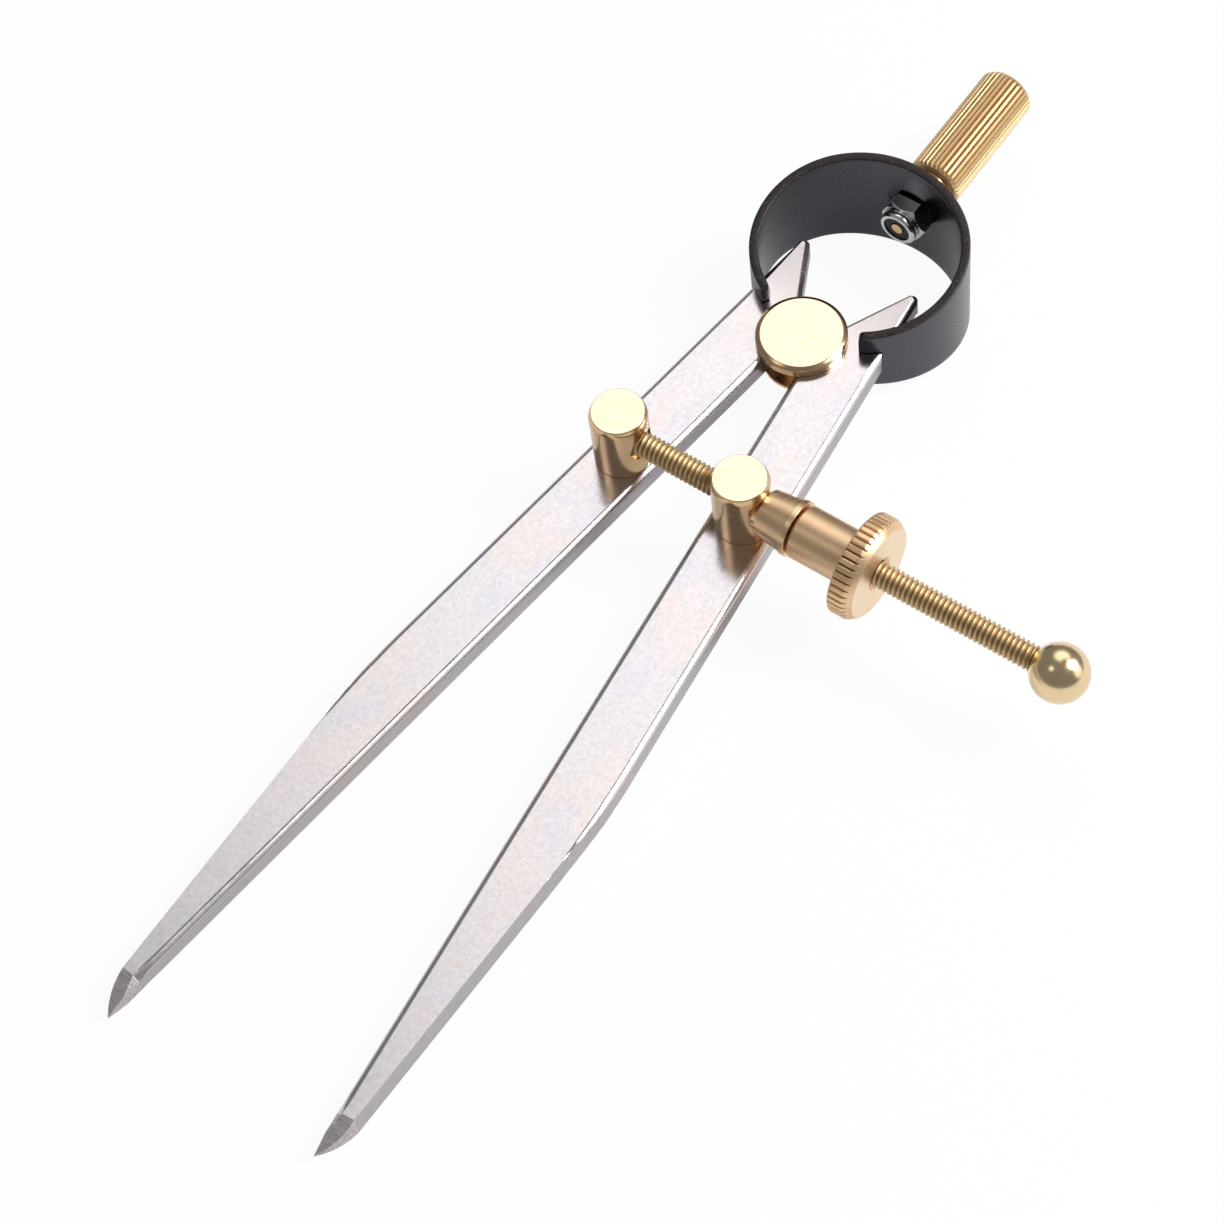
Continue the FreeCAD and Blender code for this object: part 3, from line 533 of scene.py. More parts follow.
def spun(name, profile, base, axis, count=96, shape=None, limit=35, closed=False):
    """Turns a profile about an axis. shape(r, distance, turn) may change the radius."""
    side = X if abs(axis.dot(X)) < 0.5 else Z
    other = axis.cross(side)
    bm = bmesh.new()
    cavity = bm.verts.layers.float.new("cavity")
    rings = []
    for r, distance in profile:
        centre = base + axis * distance
        if r < 1e-6:
            rings.append([bm.verts.new(centre * MM)])
            continue
        ring = []
        for i in range(count):
            turn = 2 * pi * i / count
            reach = shape(r, distance, turn) if shape else r
            vert = bm.verts.new((centre + (side * cos(turn) + other * sin(turn)) * reach) * MM)
            vert[cavity] = r - reach
            ring.append(vert)
        rings.append(ring)
    pairs = list(zip(rings, rings[1:]))
    if closed:
        pairs.append((rings[-1], rings[0]))
    for low, high in pairs:
        for i in range(count):
            j = (i + 1) % count
            if len(low) == 1 and len(high) == 1:
                break
            if len(low) == 1:
                bm.faces.new((low[0], high[i], high[j]))
            elif len(high) == 1:
                bm.faces.new((low[i], high[0], low[j]))
            else:
                bm.faces.new((low[i], low[j], high[j], high[i]))
    bmesh.ops.recalc_face_normals(bm, faces=bm.faces)
    return shade(to_mesh(bm, name), limit)


def saw(turn, count, depth, crest_share, root_share=0.04):
    """How far a tooth's outline lies below its crest, at a turn in radians."""
    phase = abs((turn * count / (2 * pi) + 0.5) % 1 - 0.5) * 2
    down = (phase - crest_share) / (1 - crest_share - root_share)
    return depth * min(1, max(0, down))


THREAD_STEPS = 40          # per turn
CREST_ROUND = 0.03         # how far the sides of a thread's crest lie below it
ROOT_ROUND = 0.05          # and how far the sides of its root lie above it


def thread_mesh(name, low, high):
    """A helical thread between two distances along +X, cut square and closed at both ends."""
    around = THREAD_STEPS
    crest = STUD_RADIUS
    root = crest - THREAD_DEPTH
    # Places as shares of the pitch, and radii
    shape = ((-0.075, crest - CREST_ROUND), (0.0, crest), (0.075, crest - CREST_ROUND),
             (0.36, root + ROOT_ROUND), (0.5, root), (0.64, root + ROOT_ROUND))
    turns = ceil((high - low) / SCREW_PITCH) + 4
    steps = turns * around
    bm = bmesh.new()
    cavity = bm.verts.layers.float.new("cavity")
    rows = []
    for s in range(steps + 1):
        turn = 2 * pi * s / around
        row = []
        for phase, r in shape:
            x = low + (s / around - 2 + phase) * SCREW_PITCH
            vert = bm.verts.new(Vector((x, SCREW_CENTRE.y + r * cos(turn),
                                        SCREW_CENTRE.z + r * sin(turn))) * MM)
            vert[cavity] = crest - r
            row.append(vert)
        rows.append(row)
    last = len(shape) - 1
    for s in range(steps):
        for k in range(last):
            bm.faces.new((rows[s][k], rows[s][k + 1], rows[s + 1][k + 1], rows[s + 1][k]))
        if s + around < steps:
            bm.faces.new((rows[s][last], rows[s + around][0], rows[s + around + 1][0],
                          rows[s + 1][last]))
    for place, direction in ((low, X), (high, -X)):
        everything = bm.verts[:] + bm.edges[:] + bm.faces[:]
        bmesh.ops.bisect_plane(bm, geom=everything, dist=1e-9, plane_co=X * place * MM,
                               plane_no=direction, clear_inner=True)
    bmesh.ops.holes_fill(bm, edges=[e for e in bm.edges if e.is_boundary], sides=0)
    bmesh.ops.recalc_face_normals(bm, faces=bm.faces)
    return shade(to_mesh(bm, name), 50)


# The bow
BOW_RIM_RADIUS = 0.2
CROWN_TURNS = (0, 0.05, 0.15, 0.4, 0.9, 1.8, 3.2)  # degrees; close together at the halves' join
BOW_ROWS = (22, 56, 7, 9)  # rows of vertices: crown, side, prong, prong's round corner
# For each side of a cell: the step to its neighbour, and to the side's two corners
CELL_SIDES = (((-1, 0), (0, 0), (0, 1)), ((1, 0), (1, 0), (1, 1)),
              ((0, -1), (0, 0), (1, 0)), ((0, 1), (0, 1), (1, 1)))


def bow_point(turn, inset):
    """A point of the bow's plan at a turn in degrees from +Y, on the +X side."""
    a = radians(turn)
    if turn > JOIN_TURN:
        centre, radius = Vector((SIDE_CENTRE_X, SPRING_CENTRE_Y, 0)), SIDE_RADIUS - inset
    else:
        centre, radius = Vector((0, CROWN_CENTRE_Y, 0)), CROWN_RADIUS - inset
    return centre + Vector((sin(a), cos(a), 0)) * radius


def bow_half(name, side):
    """Half of the bow, from its crown to the two prongs at its end."""
    crown_rows, side_rows, prong_rows, corner_rows = BOW_ROWS
    turns = list(CROWN_TURNS[:-1])
    turns += list(np.linspace(CROWN_TURNS[-1], JOIN_TURN, crown_rows))
    turns += list(np.linspace(JOIN_TURN, ROOT_TURN, side_rows)[1:])
    slot_row = len(turns) - 1
    corner_turn = END_TURN - PRONG_CORNER / SIDE_RADIUS * 180 / pi
    turns += list(np.linspace(ROOT_TURN, corner_turn, prong_rows)[1:])
    corner_angles = np.linspace(0, pi / 2, corner_rows)[1:]
    turns += [corner_turn + (END_TURN - corner_turn) * sin(a) for a in corner_angles]
    lowest = bow_point(END_TURN, 0).y
    slope = (SPRING_CROWN_WIDTH - SPRING_END_WIDTH) / 2 / (BOW_HIGH.y - lowest)
    shares = [0, 0.16, 0.33, 0.5, 0.67, 0.84, 1]  # from the slot's side to the bow's rim
    inner_columns = [-0.5, 0, 0.5]                # across the slot, in halves of its height
    columns = len(shares) * 2 + len(inner_columns)

    def heights(row, y):
        half = SPRING_END_WIDTH / 2 + slope * (y - lowest)
        past = len(turns) - 1 - row
        if past < len(corner_angles):
            half -= PRONG_CORNER * (1 - cos(corner_angles[len(corner_angles) - 1 - past]))
        upper = [SLOT_HALF + (half - SLOT_HALF) * share for share in shares]
        return [-h for h in reversed(upper)] + [SLOT_HALF * c for c in inner_columns] + upper

    bm = bmesh.new()
    skins = []
    for inset in (0, SPRING_THICKNESS):
        skin = []
        for row, turn in enumerate(turns):
            p = bow_point(turn, inset)
            skin.append([bm.verts.new(Vector((side * p.x, p.y, MID_Z + h)) * MM)
                         for h in heights(row, p.y)])
        skins.append(skin)
    outer, inner = skins
    slot_columns = range(len(shares) - 1, len(shares) + len(inner_columns))
    cells = [(r, c) for r in range(len(turns) - 1) for c in range(columns - 1)
             if not (r >= slot_row and c in slot_columns)]
    kept = set(cells)
    for r, c in cells:
        bm.faces.new((outer[r][c], outer[r][c + 1], outer[r + 1][c + 1], outer[r + 1][c]))
        bm.faces.new((inner[r][c], inner[r + 1][c], inner[r + 1][c + 1], inner[r][c + 1]))
        for (next_r, next_c), (ar, ac), (br, bc) in CELL_SIDES:
            if (r + next_r, c + next_c) not in kept:
                bm.faces.new((outer[r + ar][c + ac], outer[r + br][c + bc],
                              inner[r + br][c + bc], inner[r + ar][c + ac]))
    loose = [v for v in bm.verts if not v.link_faces]
    bmesh.ops.delete(bm, geom=loose, context="VERTS")
    bmesh.ops.recalc_face_normals(bm, faces=bm.faces)
    rims = [e for e in bm.edges if e.is_manifold and e.calc_face_angle() > radians(60)
            and max(abs(v.co.x) for v in e.verts) > 1e-7]
    bmesh.ops.bevel(bm, geom=rims, offset=BOW_RIM_RADIUS * MM, segments=3, profile=0.5, affect="EDGES",
                    clamp_overlap=False)
    return shade(to_mesh(bm, name), 40)


black = spring_black()
for side, name, leg in ((-1, "bow_left", "left_leg"), (1, "bow_right", "right_leg")):
    # Each half is added as a piece of its own, on no body.
    half = add_piece(name, bow_half(name, side), black, None, "spring_black")
    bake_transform(half)
    if side < 0:
        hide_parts("bow_spring")


# Legs


def leg_place(side, out, along, z):
    """A point given by its distance from the leg's inner line and its place along the leg."""
    a = radians(REST_ANGLE)
    return Vector((side * (out * cos(a) - along * sin(a)), out * sin(a) + along * cos(a), z))


def distance_out(side, point):
    """The distance of a point in metres from the leg's inner line, as leg_place takes it."""
    a, x, y = radians(REST_ANGLE), side * point.x / MM, point.y / MM
    return x * cos(a) + y * sin(a)


def worn_top(node, side):
    """The CAD leg with its outer bevels narrowed, and both their edges rounded until they meet
    as the bar's round edge does."""
    bm = cad_bmesh(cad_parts[node].data, join_flats=False)
    lift = LEG_CHAMFER - WORN_BEVEL
    outward = leg_place(side, 1, 0, 0)
    for vert in bm.verts:
        out = distance_out(side, vert.co)
        z = vert.co.z / MM
        for face, inward in ((LEG_HIGH.z, -1), (LEG_LOW.z, 1)):
            if abs(z - face) < NEAR and abs(out - LEG_OUTER + LEG_CHAMFER) < NEAR:
                vert.co += outward * lift * MM
            if abs(out - LEG_OUTER) < NEAR and abs(z - face - inward * LEG_CHAMFER) < NEAR:
                vert.co.z -= inward * lift * MM
    mesh = to_mesh(bm, node + "_top")
    lengthwise = leg_place(side, 0, 1, 0).normalized()

    def runs_along(edge):
        a, b = (v.co for v in edge.verts)
        return (b - a).length > LONG_EDGE * MM and abs((b - a).normalized().dot(lengthwise)) > 0.999

    def on_horn(edge):
        top = max(v.co.y for v in edge.verts)
        return edge.calc_length() > HORN_EDGE_LENGTH * MM and top > HORN_FOOT * MM

    round_edges = softened(node, WORN_SHARE, pick=runs_along, segments=4, source=mesh)
    return softened(node, HORN_EDGE, pick=on_horn, segments=3, source=round_edges)


def taper_out(along):
    """The outer side's distance below the knee, which is rounded."""
    past = -TAPER_START - along
    slope = (LEG_OUTER - LEG_INNER - POINT_WIDTH) / (LEG_LENGTH - POINT_LENGTH - TAPER_START)
    if past < -KNEE_REACH:
        return LEG_OUTER
    if past < KNEE_REACH:
        return LEG_OUTER - slope * (past + KNEE_REACH) ** 2 / (4 * KNEE_REACH)
    return LEG_OUTER - slope * past


def bar_section(along):
    """The bar's outline across at one place: round edges, cut off by the ground taper."""
    worn = min(1, (along - BAR_FOOT) / FOOT_BLEND)
    edge = []
    for i in range(EDGE_STEPS + 1):
        t = i / EDGE_STEPS
        round_in = EDGE_RADIUS * (1 - sin(t * pi / 2))
        round_down = EDGE_RADIUS * (1 - cos(t * pi / 2))
        edge.append((LEG_CHAMFER * (1 - t) * (1 - worn) + round_in * worn,
                     LEG_CHAMFER * t * (1 - worn) + round_down * worn))
    ground = taper_out(along)
    past = max(0, -TAPER_START - along)
    outer = ground + EDGE_RADIUS * past / WORN_RUNOUT
    front, rear = LEG_HIGH.z, LEG_LOW.z
    outline = [(LEG_INNER + i, front - d) for i, d in edge]
    outline += [(LEG_INNER + i, rear + d) for i, d in reversed(edge)]
    outline += [(min(ground, outer - i), rear + d) for i, d in edge]
    outline += [(min(ground, outer - i), front - d) for i, d in reversed(edge)]
    return outline


def cut_off(bm, side, along, keep_up):
    """Cuts a leg's mesh across and closes the cut."""
    lengthwise = leg_place(side, 0, 1, 0).normalized()
    everything = bm.verts[:] + bm.edges[:] + bm.faces[:]
    bmesh.ops.bisect_plane(bm, geom=everything, dist=1e-8,
                           plane_co=leg_place(side, 0, along, 0) * MM,
                           plane_no=lengthwise if keep_up else -lengthwise, clear_inner=True)
    bmesh.ops.holes_fill(bm, edges=[e for e in bm.edges if e.is_boundary], sides=0)


def leg_mesh(node, side):
    """The horn and the ground point of the CAD leg, and between them the bar with edges worn
    round."""
    whole = bmesh.new()
    whole.from_mesh(worn_top(node, side))
    cut_off(whole, side, BAR_TOP, True)
    point = cad_bmesh(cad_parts[node].data)
    cut_off(point, side, BAR_FOOT, False)
    kept = to_mesh(point, "point")
    whole.from_mesh(kept)
    bpy.data.meshes.remove(kept)
    places = np.concatenate([np.linspace(*stretch) for stretch in BAR_PLACES])
    rings = [[whole.verts.new(leg_place(side, out, along, z) * MM)
              for out, z in bar_section(along)] for along in places]
    count = len(rings[0])
    for low, high in zip(rings, rings[1:]):
        for i in range(count):
            j = (i + 1) % count
            whole.faces.new((low[i], low[j], high[j], high[i]))
    whole.faces.new(rings[0])
    whole.faces.new(rings[-1])
    bmesh.ops.dissolve_degenerate(whole, dist=1e-8, edges=whole.edges)
    bmesh.ops.recalc_face_normals(whole, faces=whole.faces)
    return shade(to_mesh(whole, node), 24)


for side, node in ((-1, "left_leg"), (1, "right_leg")):
    weighted(add_piece(node + "_bar", leg_mesh(node, side), leg_steel(node + "_steel", side),
                       node, "leg_steel", node))


# Pivot, posts and sleeve
for node, body, width in (("pivot_core", "head", 0.10), ("pivot_cap", "head", 0.10),
                          ("left_post", "left_post", 0.09), ("right_post", "right_post", 0.09),
                          ("left_post_washer", "left_post", 0.06),
                          ("right_post_washer", "right_post", 0.06)):
    # Painted shade and light: darker brass on the sides, paler brass on the faces that look along +Z.
    material = turned_brass(node + "_brass", middle(node), Z, colour=BRASS_PAINTED_SIDE_SHADE, top=BRASS_PAINTED_TOP_LIGHT)
    weighted(add_piece(node + "_turned", softened(node, width), material, body, "brass", node))

material = turned_brass("thrust_sleeve_brass", middle("thrust_sleeve"), X, rough=0.3,
                        line_depth=0.003)
weighted(add_piece("thrust_sleeve_turned", softened("thrust_sleeve", 0.06, limit=18, crisp=14),
                   material, "right_post", "brass", "thrust_sleeve"))


# Adjusting screw with its ball
SCREW_AXIS = Vector((0, SCREW_CENTRE.y, SCREW_CENTRE.z))
material = grooved_brass("screw_brass", SCREW_AXIS, X, THREAD_DEPTH, 0.45, colour=BRASS_DULL)
add_piece("adjusting_screw_thread", thread_mesh("thread", SCREW_LOW.x, SCREW_HIGH.x), material,
          "left_post", "screw_brass", "adjusting_screw")

BALL_MOUTH = STUD_RADIUS + 0.12
BALL_BORE = STUD_RADIUS + 0.02
ball_centre = Vector((BALL_HIGH.x - BALL_RADIUS, SCREW_CENTRE.y, SCREW_CENTRE.z))
start_angle = atan2(BALL_MOUTH, -sqrt(BALL_RADIUS ** 2 - BALL_MOUTH ** 2))
ball_profile = [(BALL_BORE, 0.5), (BALL_BORE, -BALL_RADIUS * 0.83)]
ball_profile += [(BALL_RADIUS * sin(a), BALL_RADIUS * cos(a))
                 for a in np.linspace(start_angle, 0, 56)]
material = turned_brass("ball_brass", ball_centre, X, colour=BRASS_GREEN, rough=0.17,
                        line_depth=0.0004)
add_piece("ball_end_polished", spun("ball", ball_profile, ball_centre, X, 112), material,
          "left_post", "brass", "ball_end")


# Adjusting wheel
BARREL_EDGE = 0.4          # bevel of the barrel's free end
BARREL_FILLET = 0.25       # where the barrel runs into the wheel
RIM_ROUND = 0.30           # rounding of the rim's edge on the barrel's side
BEVEL_SWELL = 0.10         # how far the long bevel bulges, worn as it is
TOOTH_CREST = 0.62         # share of a tooth's pitch that is left as its crest


def wheel_shape(r, distance, turn):
    """The rim's outline: teeth on its outside, which run out in the bevel."""
    if distance < BARREL_LENGTH + 0.01 or r < WHEEL_RADIUS - BEVEL_RADIAL - 0.01:
        return r
    crest = WHEEL_RADIUS - saw(turn, WHEEL_TEETH, TOOTH_DEPTH, TOOTH_CREST)
    return min(r, crest)


rim_end = WHEEL_HIGH.x - WHEEL_LOW.x
bevel_start = rim_end - BEVEL_AXIAL
barrel = rounded([(SCREW_BORE, 0.6), (SCREW_BORE, 0), (BARREL_RADIUS - BARREL_EDGE, 0),
                  (BARREL_RADIUS, BARREL_EDGE), (BARREL_RADIUS, BARREL_LENGTH - BARREL_FILLET),
                  (BARREL_RADIUS + BARREL_FILLET, BARREL_LENGTH),
                  (WHEEL_RADIUS - 0.6, BARREL_LENGTH)], 0.1)
rim = [Vector((WHEEL_RADIUS - RIM_ROUND + RIM_ROUND * sin(a),
               BARREL_LENGTH + 0.02 + RIM_ROUND * (1 - cos(a))))
       for a in np.linspace(0, pi / 2, 5)]
rim += [Vector((WHEEL_RADIUS, d)) for d in np.linspace(BARREL_LENGTH + 0.9, bevel_start - 0.1, 4)]
for t in np.linspace(0, 1, 22):
    swell = BEVEL_SWELL * 4 * t * (1 - t)
    rim.append(Vector((WHEEL_RADIUS - BEVEL_RADIAL * t + swell * 0.8,
                       bevel_start + BEVEL_AXIAL * t + swell * 0.35)))
face = rounded([rim[-1], (SCREW_BORE + COUNTERSINK, rim_end), (SCREW_BORE, rim_end - COUNTERSINK),
                (SCREW_BORE, rim_end - 1.5)], 0.12)
wheel_base = Vector((WHEEL_LOW.x, SCREW_CENTRE.y, SCREW_CENTRE.z))
wheel_mesh = spun("wheel", barrel + rim + face[1:], wheel_base, X, WHEEL_TEETH * 12, wheel_shape,
                  limit=30, closed=True)
# Painted light: a paler brass on the wheel's faces that look along +X.
material = grooved_brass("wheel_brass", wheel_base, X, TOOTH_DEPTH, 0.39, top=BRASS_PAINTED_TOP_LIGHT)
add_piece("adjusting_wheel_knurled", wheel_mesh, material, "wheel", "brass", "adjusting_wheel")


# Handle, neck and the stud's end
FLUTE_CREST = 0.42         # share of a flute's pitch that is left as its crest
END_ROUND = 0.5            # worn edge of the grip's end faces: how far it reaches in
END_DROP = 0.18            # and how far it reaches down
STUD_END_RADIUS = 0.98     # what shows of the stud inside the nylon ring
STUD_END_LENGTH = 1.6


def flute_shape(r, distance, turn):
    """The grip's outline: straight flutes that the end bevels cut into."""
    return min(r, HANDLE_RADIUS - saw(turn, HANDLE_FLUTES, FLUTE_DEPTH, FLUTE_CREST))


handle_base = Vector((0, HANDLE_HIGH.y - HANDLE_LENGTH, MID_Z))
c = HANDLE_CHAMFER
ends = [(HANDLE_RADIUS - c - END_ROUND + END_ROUND * sin(a), END_DROP * (1 - cos(a)))
        for a in np.linspace(0, pi / 2, 4)]
ends += [(HANDLE_RADIUS - c + c * t, END_DROP + (c + 0.1) * t) for t in (0.25, 0.5, 0.75, 1)]
grip = [(0, 0), (NECK_RADIUS * 0.6, 0)] + ends
grip += [(HANDLE_RADIUS, d) for d in np.linspace(1.2, HANDLE_LENGTH - 1.2, 8)]
grip += [(r, HANDLE_LENGTH - d) for r, d in reversed(ends)]
grip += [(NECK_RADIUS * 0.6, HANDLE_LENGTH), (0, HANDLE_LENGTH)]
grip_mesh = spun("grip", grip, handle_base, Y, HANDLE_FLUTES * 10, flute_shape, limit=40)
material = grooved_brass("grip_brass", handle_base, Y, FLUTE_DEPTH, 0.5, colour=BRASS_HANDLED)
add_piece("handle_grip", grip_mesh, material, "head", "brass", "handle")

neck_length = handle_base.y - BOW_HIGH.y
neck = rounded([(0, 0), (NECK_RADIUS, 0), (NECK_RADIUS, neck_length), (0, neck_length)], 0.15)
neck_base = Vector((0, BOW_HIGH.y, MID_Z))
add_piece("handle_neck", spun("neck", neck, neck_base, Y, 72),
          turned_brass("neck_brass", neck_base, Y), "head", "brass")

stud = rounded([(0, 0), (STUD_END_RADIUS, 0), (STUD_END_RADIUS, STUD_END_LENGTH),
                (0, STUD_END_LENGTH)], 0.08)
stud_base = Vector((0, HANDLE_LOW.y, MID_Z))
add_piece("stud_end", spun("stud", stud, stud_base, Y, 48),
          turned_brass("stud_brass", stud_base, Y, colour=BRASS, rough=0.3, line_depth=0.004),
          "head", "brass")


# Lock nut with its nylon ring
RING_RADIUS = 2.65
RING_MOUTH = 1.12          # radius of the ring's hole at its mouth
RING_HOLE = 1.04           # and inside it
RING_FRONT, RING_BACK = RING_LOW.y + 0.02, RING_LOW.y + 0.95
nut_axis = Vector((0, NUT_LOW.y, MID_Z))
weighted(add_piece("lock_nut_plated", softened("lock_nut", 0.05),
                   plated("nut_zinc", ZINC, 0.07, nut_axis, Y), "head", "zinc", "lock_nut"))
ring = rounded([(RING_RADIUS, RING_FRONT), (RING_MOUTH, RING_FRONT), (RING_HOLE, RING_LOW.y + 0.5),
                (RING_HOLE, RING_BACK), (RING_RADIUS, RING_BACK)], 0.06)
add_piece("nut_insert_ring", spun("ring", ring, Vector((0, 0, MID_Z)), Y, 64, closed=True),
          dull("nylon", NYLON, 0.45), "head", "nylon", "nut_insert")


# Small screws on the rear side and in the left post's back
def slotted(node, material, body, slot, width, depth, end_low):
    """A small screw's CAD mesh with a driver slot sawn across its head."""
    low, high = box_mm(node)
    centre = (low + high) / 2
    piece = add_piece(node + "_slotted", softened(node, 0.05), material, body, slot, node)
    reach = high.x - low.x
    bm = bmesh.new()
    bmesh.ops.create_cube(bm, size=1)
    bmesh.ops.scale(bm, vec=Vector((reach * 1.5, width, 2 * depth)) * MM, verts=bm.verts)
    bmesh.ops.translate(bm, vec=Vector((centre.x, centre.y, end_low)) * MM, verts=bm.verts)
    tool = bpy.data.objects.new(node + "_saw", to_mesh(bm, node + "_saw"))
    bpy.context.scene.collection.objects.link(tool)
    cut = piece.modifiers.new("slot", "BOOLEAN")
    cut.operation = "DIFFERENCE"
    cut.solver = "EXACT"
    cut.object = tool
    bpy.context.view_layer.update()
    result = bpy.data.meshes.new_from_object(
        piece.evaluated_get(bpy.context.evaluated_depsgraph_get()))
    piece.modifiers.clear()
    piece.data = result
    result.materials.clear()
    result.materials.append(material)
    shade(result, 40)
    bpy.data.objects.remove(tool)
    return piece


for node, body, width, depth in (("left_post_screw", "left_post", 0.55, 0.6),
                                 ("right_post_screw", "right_post", 0.55, 0.6),
                                 ("pivot_screw", "head", 0.8, 0.7)):
    material = plated(node + "_plating", PLATED, 0.18, middle(node), Z)
    slotted(node, material, body, "plated_steel", width, depth, box_mm(node)[0].z)

SOCKET_DEPTH = 0.9
KEY_HALF = 0.72            # half the width of the hexagon key
set_centre = middle("set_screw")
set_length = SET_HIGH.y - SET_LOW.y


def socket_shape(r, distance, turn):
    """Six-sided hole inside, round outside."""
    if r > KEY_HALF + 0.05:
        return r
    sixth = (turn + pi / 6) % (pi / 3) - pi / 6
    return KEY_HALF / cos(sixth)


hexagon = [(0, 0.15), (1.05, 0), (1.25, 0.2), (1.25, set_length - 0.15),
           (1.1, set_length), (KEY_HALF, set_length), (KEY_HALF, set_length - SOCKET_DEPTH),
           (0, set_length - SOCKET_DEPTH - 0.2)]
set_base = Vector((set_centre.x, SET_LOW.y, set_centre.z))
add_piece("set_screw_socket", spun("socket", hexagon, set_base, Y, 60, socket_shape),
          dull("oxide", OXIDE, 0.35, metallic=0.6), "left_post", "dark_steel", "set_screw")


# Floor, light and camera
TENT_BASE = 0.11
# Direction, inner and outer half angle in degrees, and strength added to the tent's base level
TENT_PANELS = (((-0.211, 0.558, 0.802), 12, 30.7, 1.58),
               ((0.84, 0.43, 0.33), 10, 24, 1.25),
               ((-0.35, -0.42, 0.83), 3, 11, 1.6),
               ((0.12, 0.36, 0.92), 7, 17, -1.1))
MIRRORED_WHITE = 0.15      # share of plain white in what mirrors the surroundings
MIRRORED_PAPER = 0.40      # and in what mirrors the paper
FLOOR_COLOUR = (0.88, 0.88, 0.885, 1)
FLOOR_FIBRE = (0.8, 0.8, 0.8, 1)
FLOOR_GLOW = 0.94          # share of plain white in what the camera sees of the paper
FLOOR_REACH = 2500
FLOOR_GAP = 0.02           # how far the paper lies below what rests on it


def world_light():
    """A light tent: bright panels over an even, dim base, and one panel that takes light away."""
    world = bpy.data.worlds.new("tent")
    bpy.context.scene.world = world
    world.use_nodes = True
    tree = world.node_tree
    tree.nodes.clear()
    nodes, links = tree.nodes, tree.links

    def add(kind, *values, **settings):
        node = nodes.new(kind)
        for name, value in settings.items():
            setattr(node, name, value)
        for socket, value in zip(node.inputs, values):
            if isinstance(value, bpy.types.NodeSocket):
                links.new(value, socket)
            elif value is not None:
                socket.default_value = value
        return node

    direction = add("ShaderNodeTexCoord").outputs["Generated"]
    level = None
    for axis, inner, outer, strength in TENT_PANELS:
        close = add("ShaderNodeVectorMath", direction, tuple(Vector(axis).normalized()),
                    operation="DOT_PRODUCT").outputs["Value"]
        panel = add("ShaderNodeMapRange", close, cos(radians(outer)), cos(radians(inner)), 0.0,
                    strength, interpolation_type="SMOOTHSTEP").outputs[0]
        level = panel if level is None else add("ShaderNodeMath", level, panel,
                                                operation="ADD").outputs[0]
    level = add("ShaderNodeMath", level, 0.0, operation="MAXIMUM").outputs[0]
    level = add("ShaderNodeMath", level, TENT_BASE, operation="ADD").outputs[0]
    light = add("ShaderNodeBackground", (1, 1, 1, 1), level)
    white = add("ShaderNodeBackground", (1, 1, 1, 1), 1.0)
    path = add("ShaderNodeLightPath").outputs
    through = add("ShaderNodeMath", path["Is Camera Ray"], path["Is Transmission Ray"],
                  operation="ADD").outputs[0]
    seen = add("ShaderNodeMath", path["Is Glossy Ray"], MIRRORED_WHITE, through,
               operation="MULTIPLY_ADD").outputs[0]
    mixed = add("ShaderNodeMixShader", seen, light.outputs[0], white.outputs[0])
    add("ShaderNodeOutputWorld", mixed.outputs[0])


world_light()


def lamp(name, direction, distance, size, power):
    """A soft box that faces the object."""
    light = bpy.data.lights.new(name, "AREA")
    light.shape = "RECTANGLE"
    light.size, light.size_y = size
    light.energy = power
    holder = bpy.data.objects.new(name, light)
    toward = Vector(direction).normalized()
    holder.location = Vector((0, -0.05, 0)) + toward * distance
    holder.rotation_mode = "QUATERNION"
    holder.rotation_quaternion = (-toward).to_track_quat("-Z", "Y")
    bpy.context.scene.collection.objects.link(holder)
    return holder


lamp("key", (0.555, 0.469, 0.687), 1.2, (0.50, 0.62), 14.0)


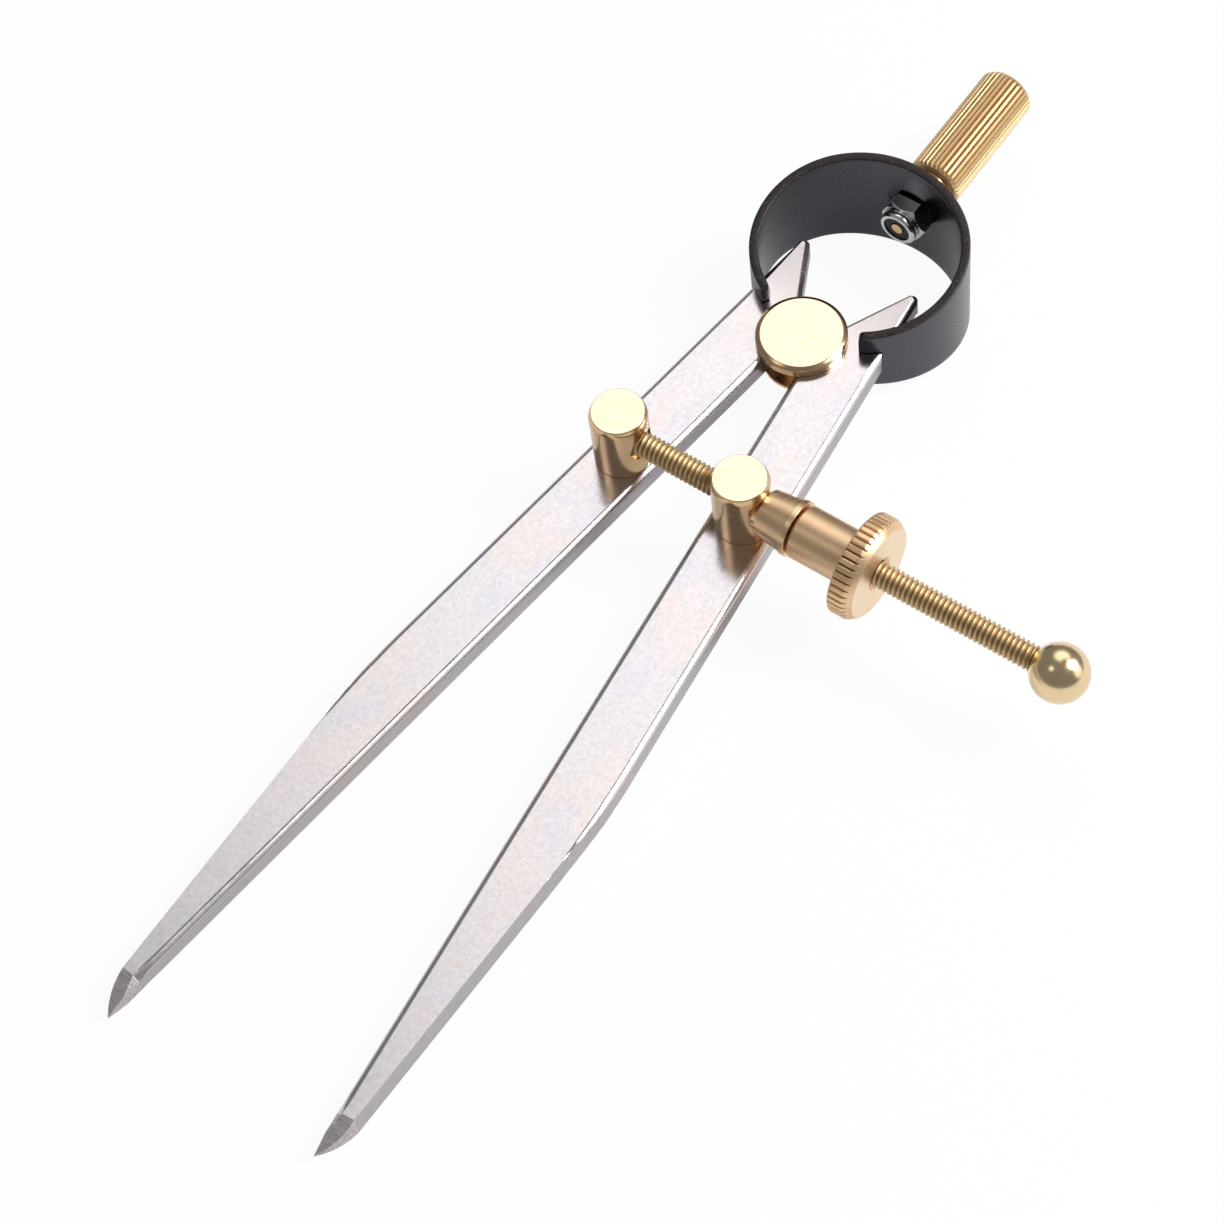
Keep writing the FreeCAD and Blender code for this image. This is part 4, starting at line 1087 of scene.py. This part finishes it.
def floor():
    """A pale plane that the tool rests on: the bow's rear rim and the backs of the points."""
    touch_bow = Vector((0, BOW_HIGH.y, BOW_LOW.z))
    touch_legs = Vector((0, -(LEG_LENGTH - POINT_LENGTH) * cos(radians(REST_ANGLE)),
                         LEG_LOW.z))
    slope = (touch_bow.z - touch_legs.z) / (touch_bow.y - touch_legs.y)
    normal = Vector((0, -slope, 1)).normalized()
    mesh = bpy.data.meshes.new("floor")
    corners = []
    for x, y in ((-1, -1), (1, -1), (1, 1), (-1, 1)):
        reach_y = y * FLOOR_REACH
        corners.append(Vector((x * FLOOR_REACH, reach_y,
                               touch_bow.z + slope * (reach_y - touch_bow.y))) * MM)
    mesh.from_pydata([c - normal * FLOOR_GAP * MM for c in corners], [], [(0, 1, 2, 3)])
    plane = bpy.data.objects.new("floor", mesh)
    bpy.context.scene.collection.objects.link(plane)
    mesh.materials.append(floor_paper())


def floor_paper():
    """Paper: nearly white to the camera, and partly so for what mirrors it."""
    s = Shader("floor_paper")
    s.tree.nodes.remove(s.surface)
    path = s.tree.nodes.new("ShaderNodeLightPath").outputs

    def surface(kind, *values):
        node = s.tree.nodes.new(kind)
        for socket, value in zip(node.inputs, values):
            s.feed(socket, value)
        return node.outputs[0]

    mirrored = s.math("ADD", path["Is Glossy Ray"], path["Is Transmission Ray"])
    share = s.math("ADD", s.math("MULTIPLY", path["Is Camera Ray"], FLOOR_GLOW),
                   s.math("MULTIPLY", mirrored, MIRRORED_PAPER))
    grain = s.noise(s.place, 0.8, 3.0, 0.6)
    paper = surface("ShaderNodeBsdfDiffuse", s.mix(s.spread(grain, 0.3, 0.7, 0.0, 0.04),
                                                   FLOOR_COLOUR, FLOOR_FIBRE))
    white = surface("ShaderNodeEmission", (1, 1, 1, 1), 1.0)
    lit = surface("ShaderNodeMixShader", share, paper, white)
    behind = s.tree.nodes.new("ShaderNodeNewGeometry").outputs["Backfacing"]
    both = surface("ShaderNodeMixShader", behind, lit, surface("ShaderNodeBsdfTransparent"))
    s.feed(s.tree.nodes["Material Output"].inputs[0], both)
    return s.material


floor()

camera = bpy.data.cameras.new("camera")
camera.lens = CAMERA_LENS
camera.sensor_width = SENSOR
camera.clip_start, camera.clip_end = 0.01, 20
viewer = bpy.data.objects.new("camera", camera)
bpy.context.scene.collection.objects.link(viewer)
place = CAMERA_PLACE * MM
viewer.matrix_world = Matrix((
    (CAMERA_RIGHT.x, CAMERA_UP.x, -CAMERA_AHEAD.x, place.x),
    (CAMERA_RIGHT.y, CAMERA_UP.y, -CAMERA_AHEAD.y, place.y),
    (CAMERA_RIGHT.z, CAMERA_UP.z, -CAMERA_AHEAD.z, place.z),
    (0, 0, 0, 1)))
bpy.context.scene.camera = viewer
bpy.context.scene.view_settings.view_transform = "Standard"
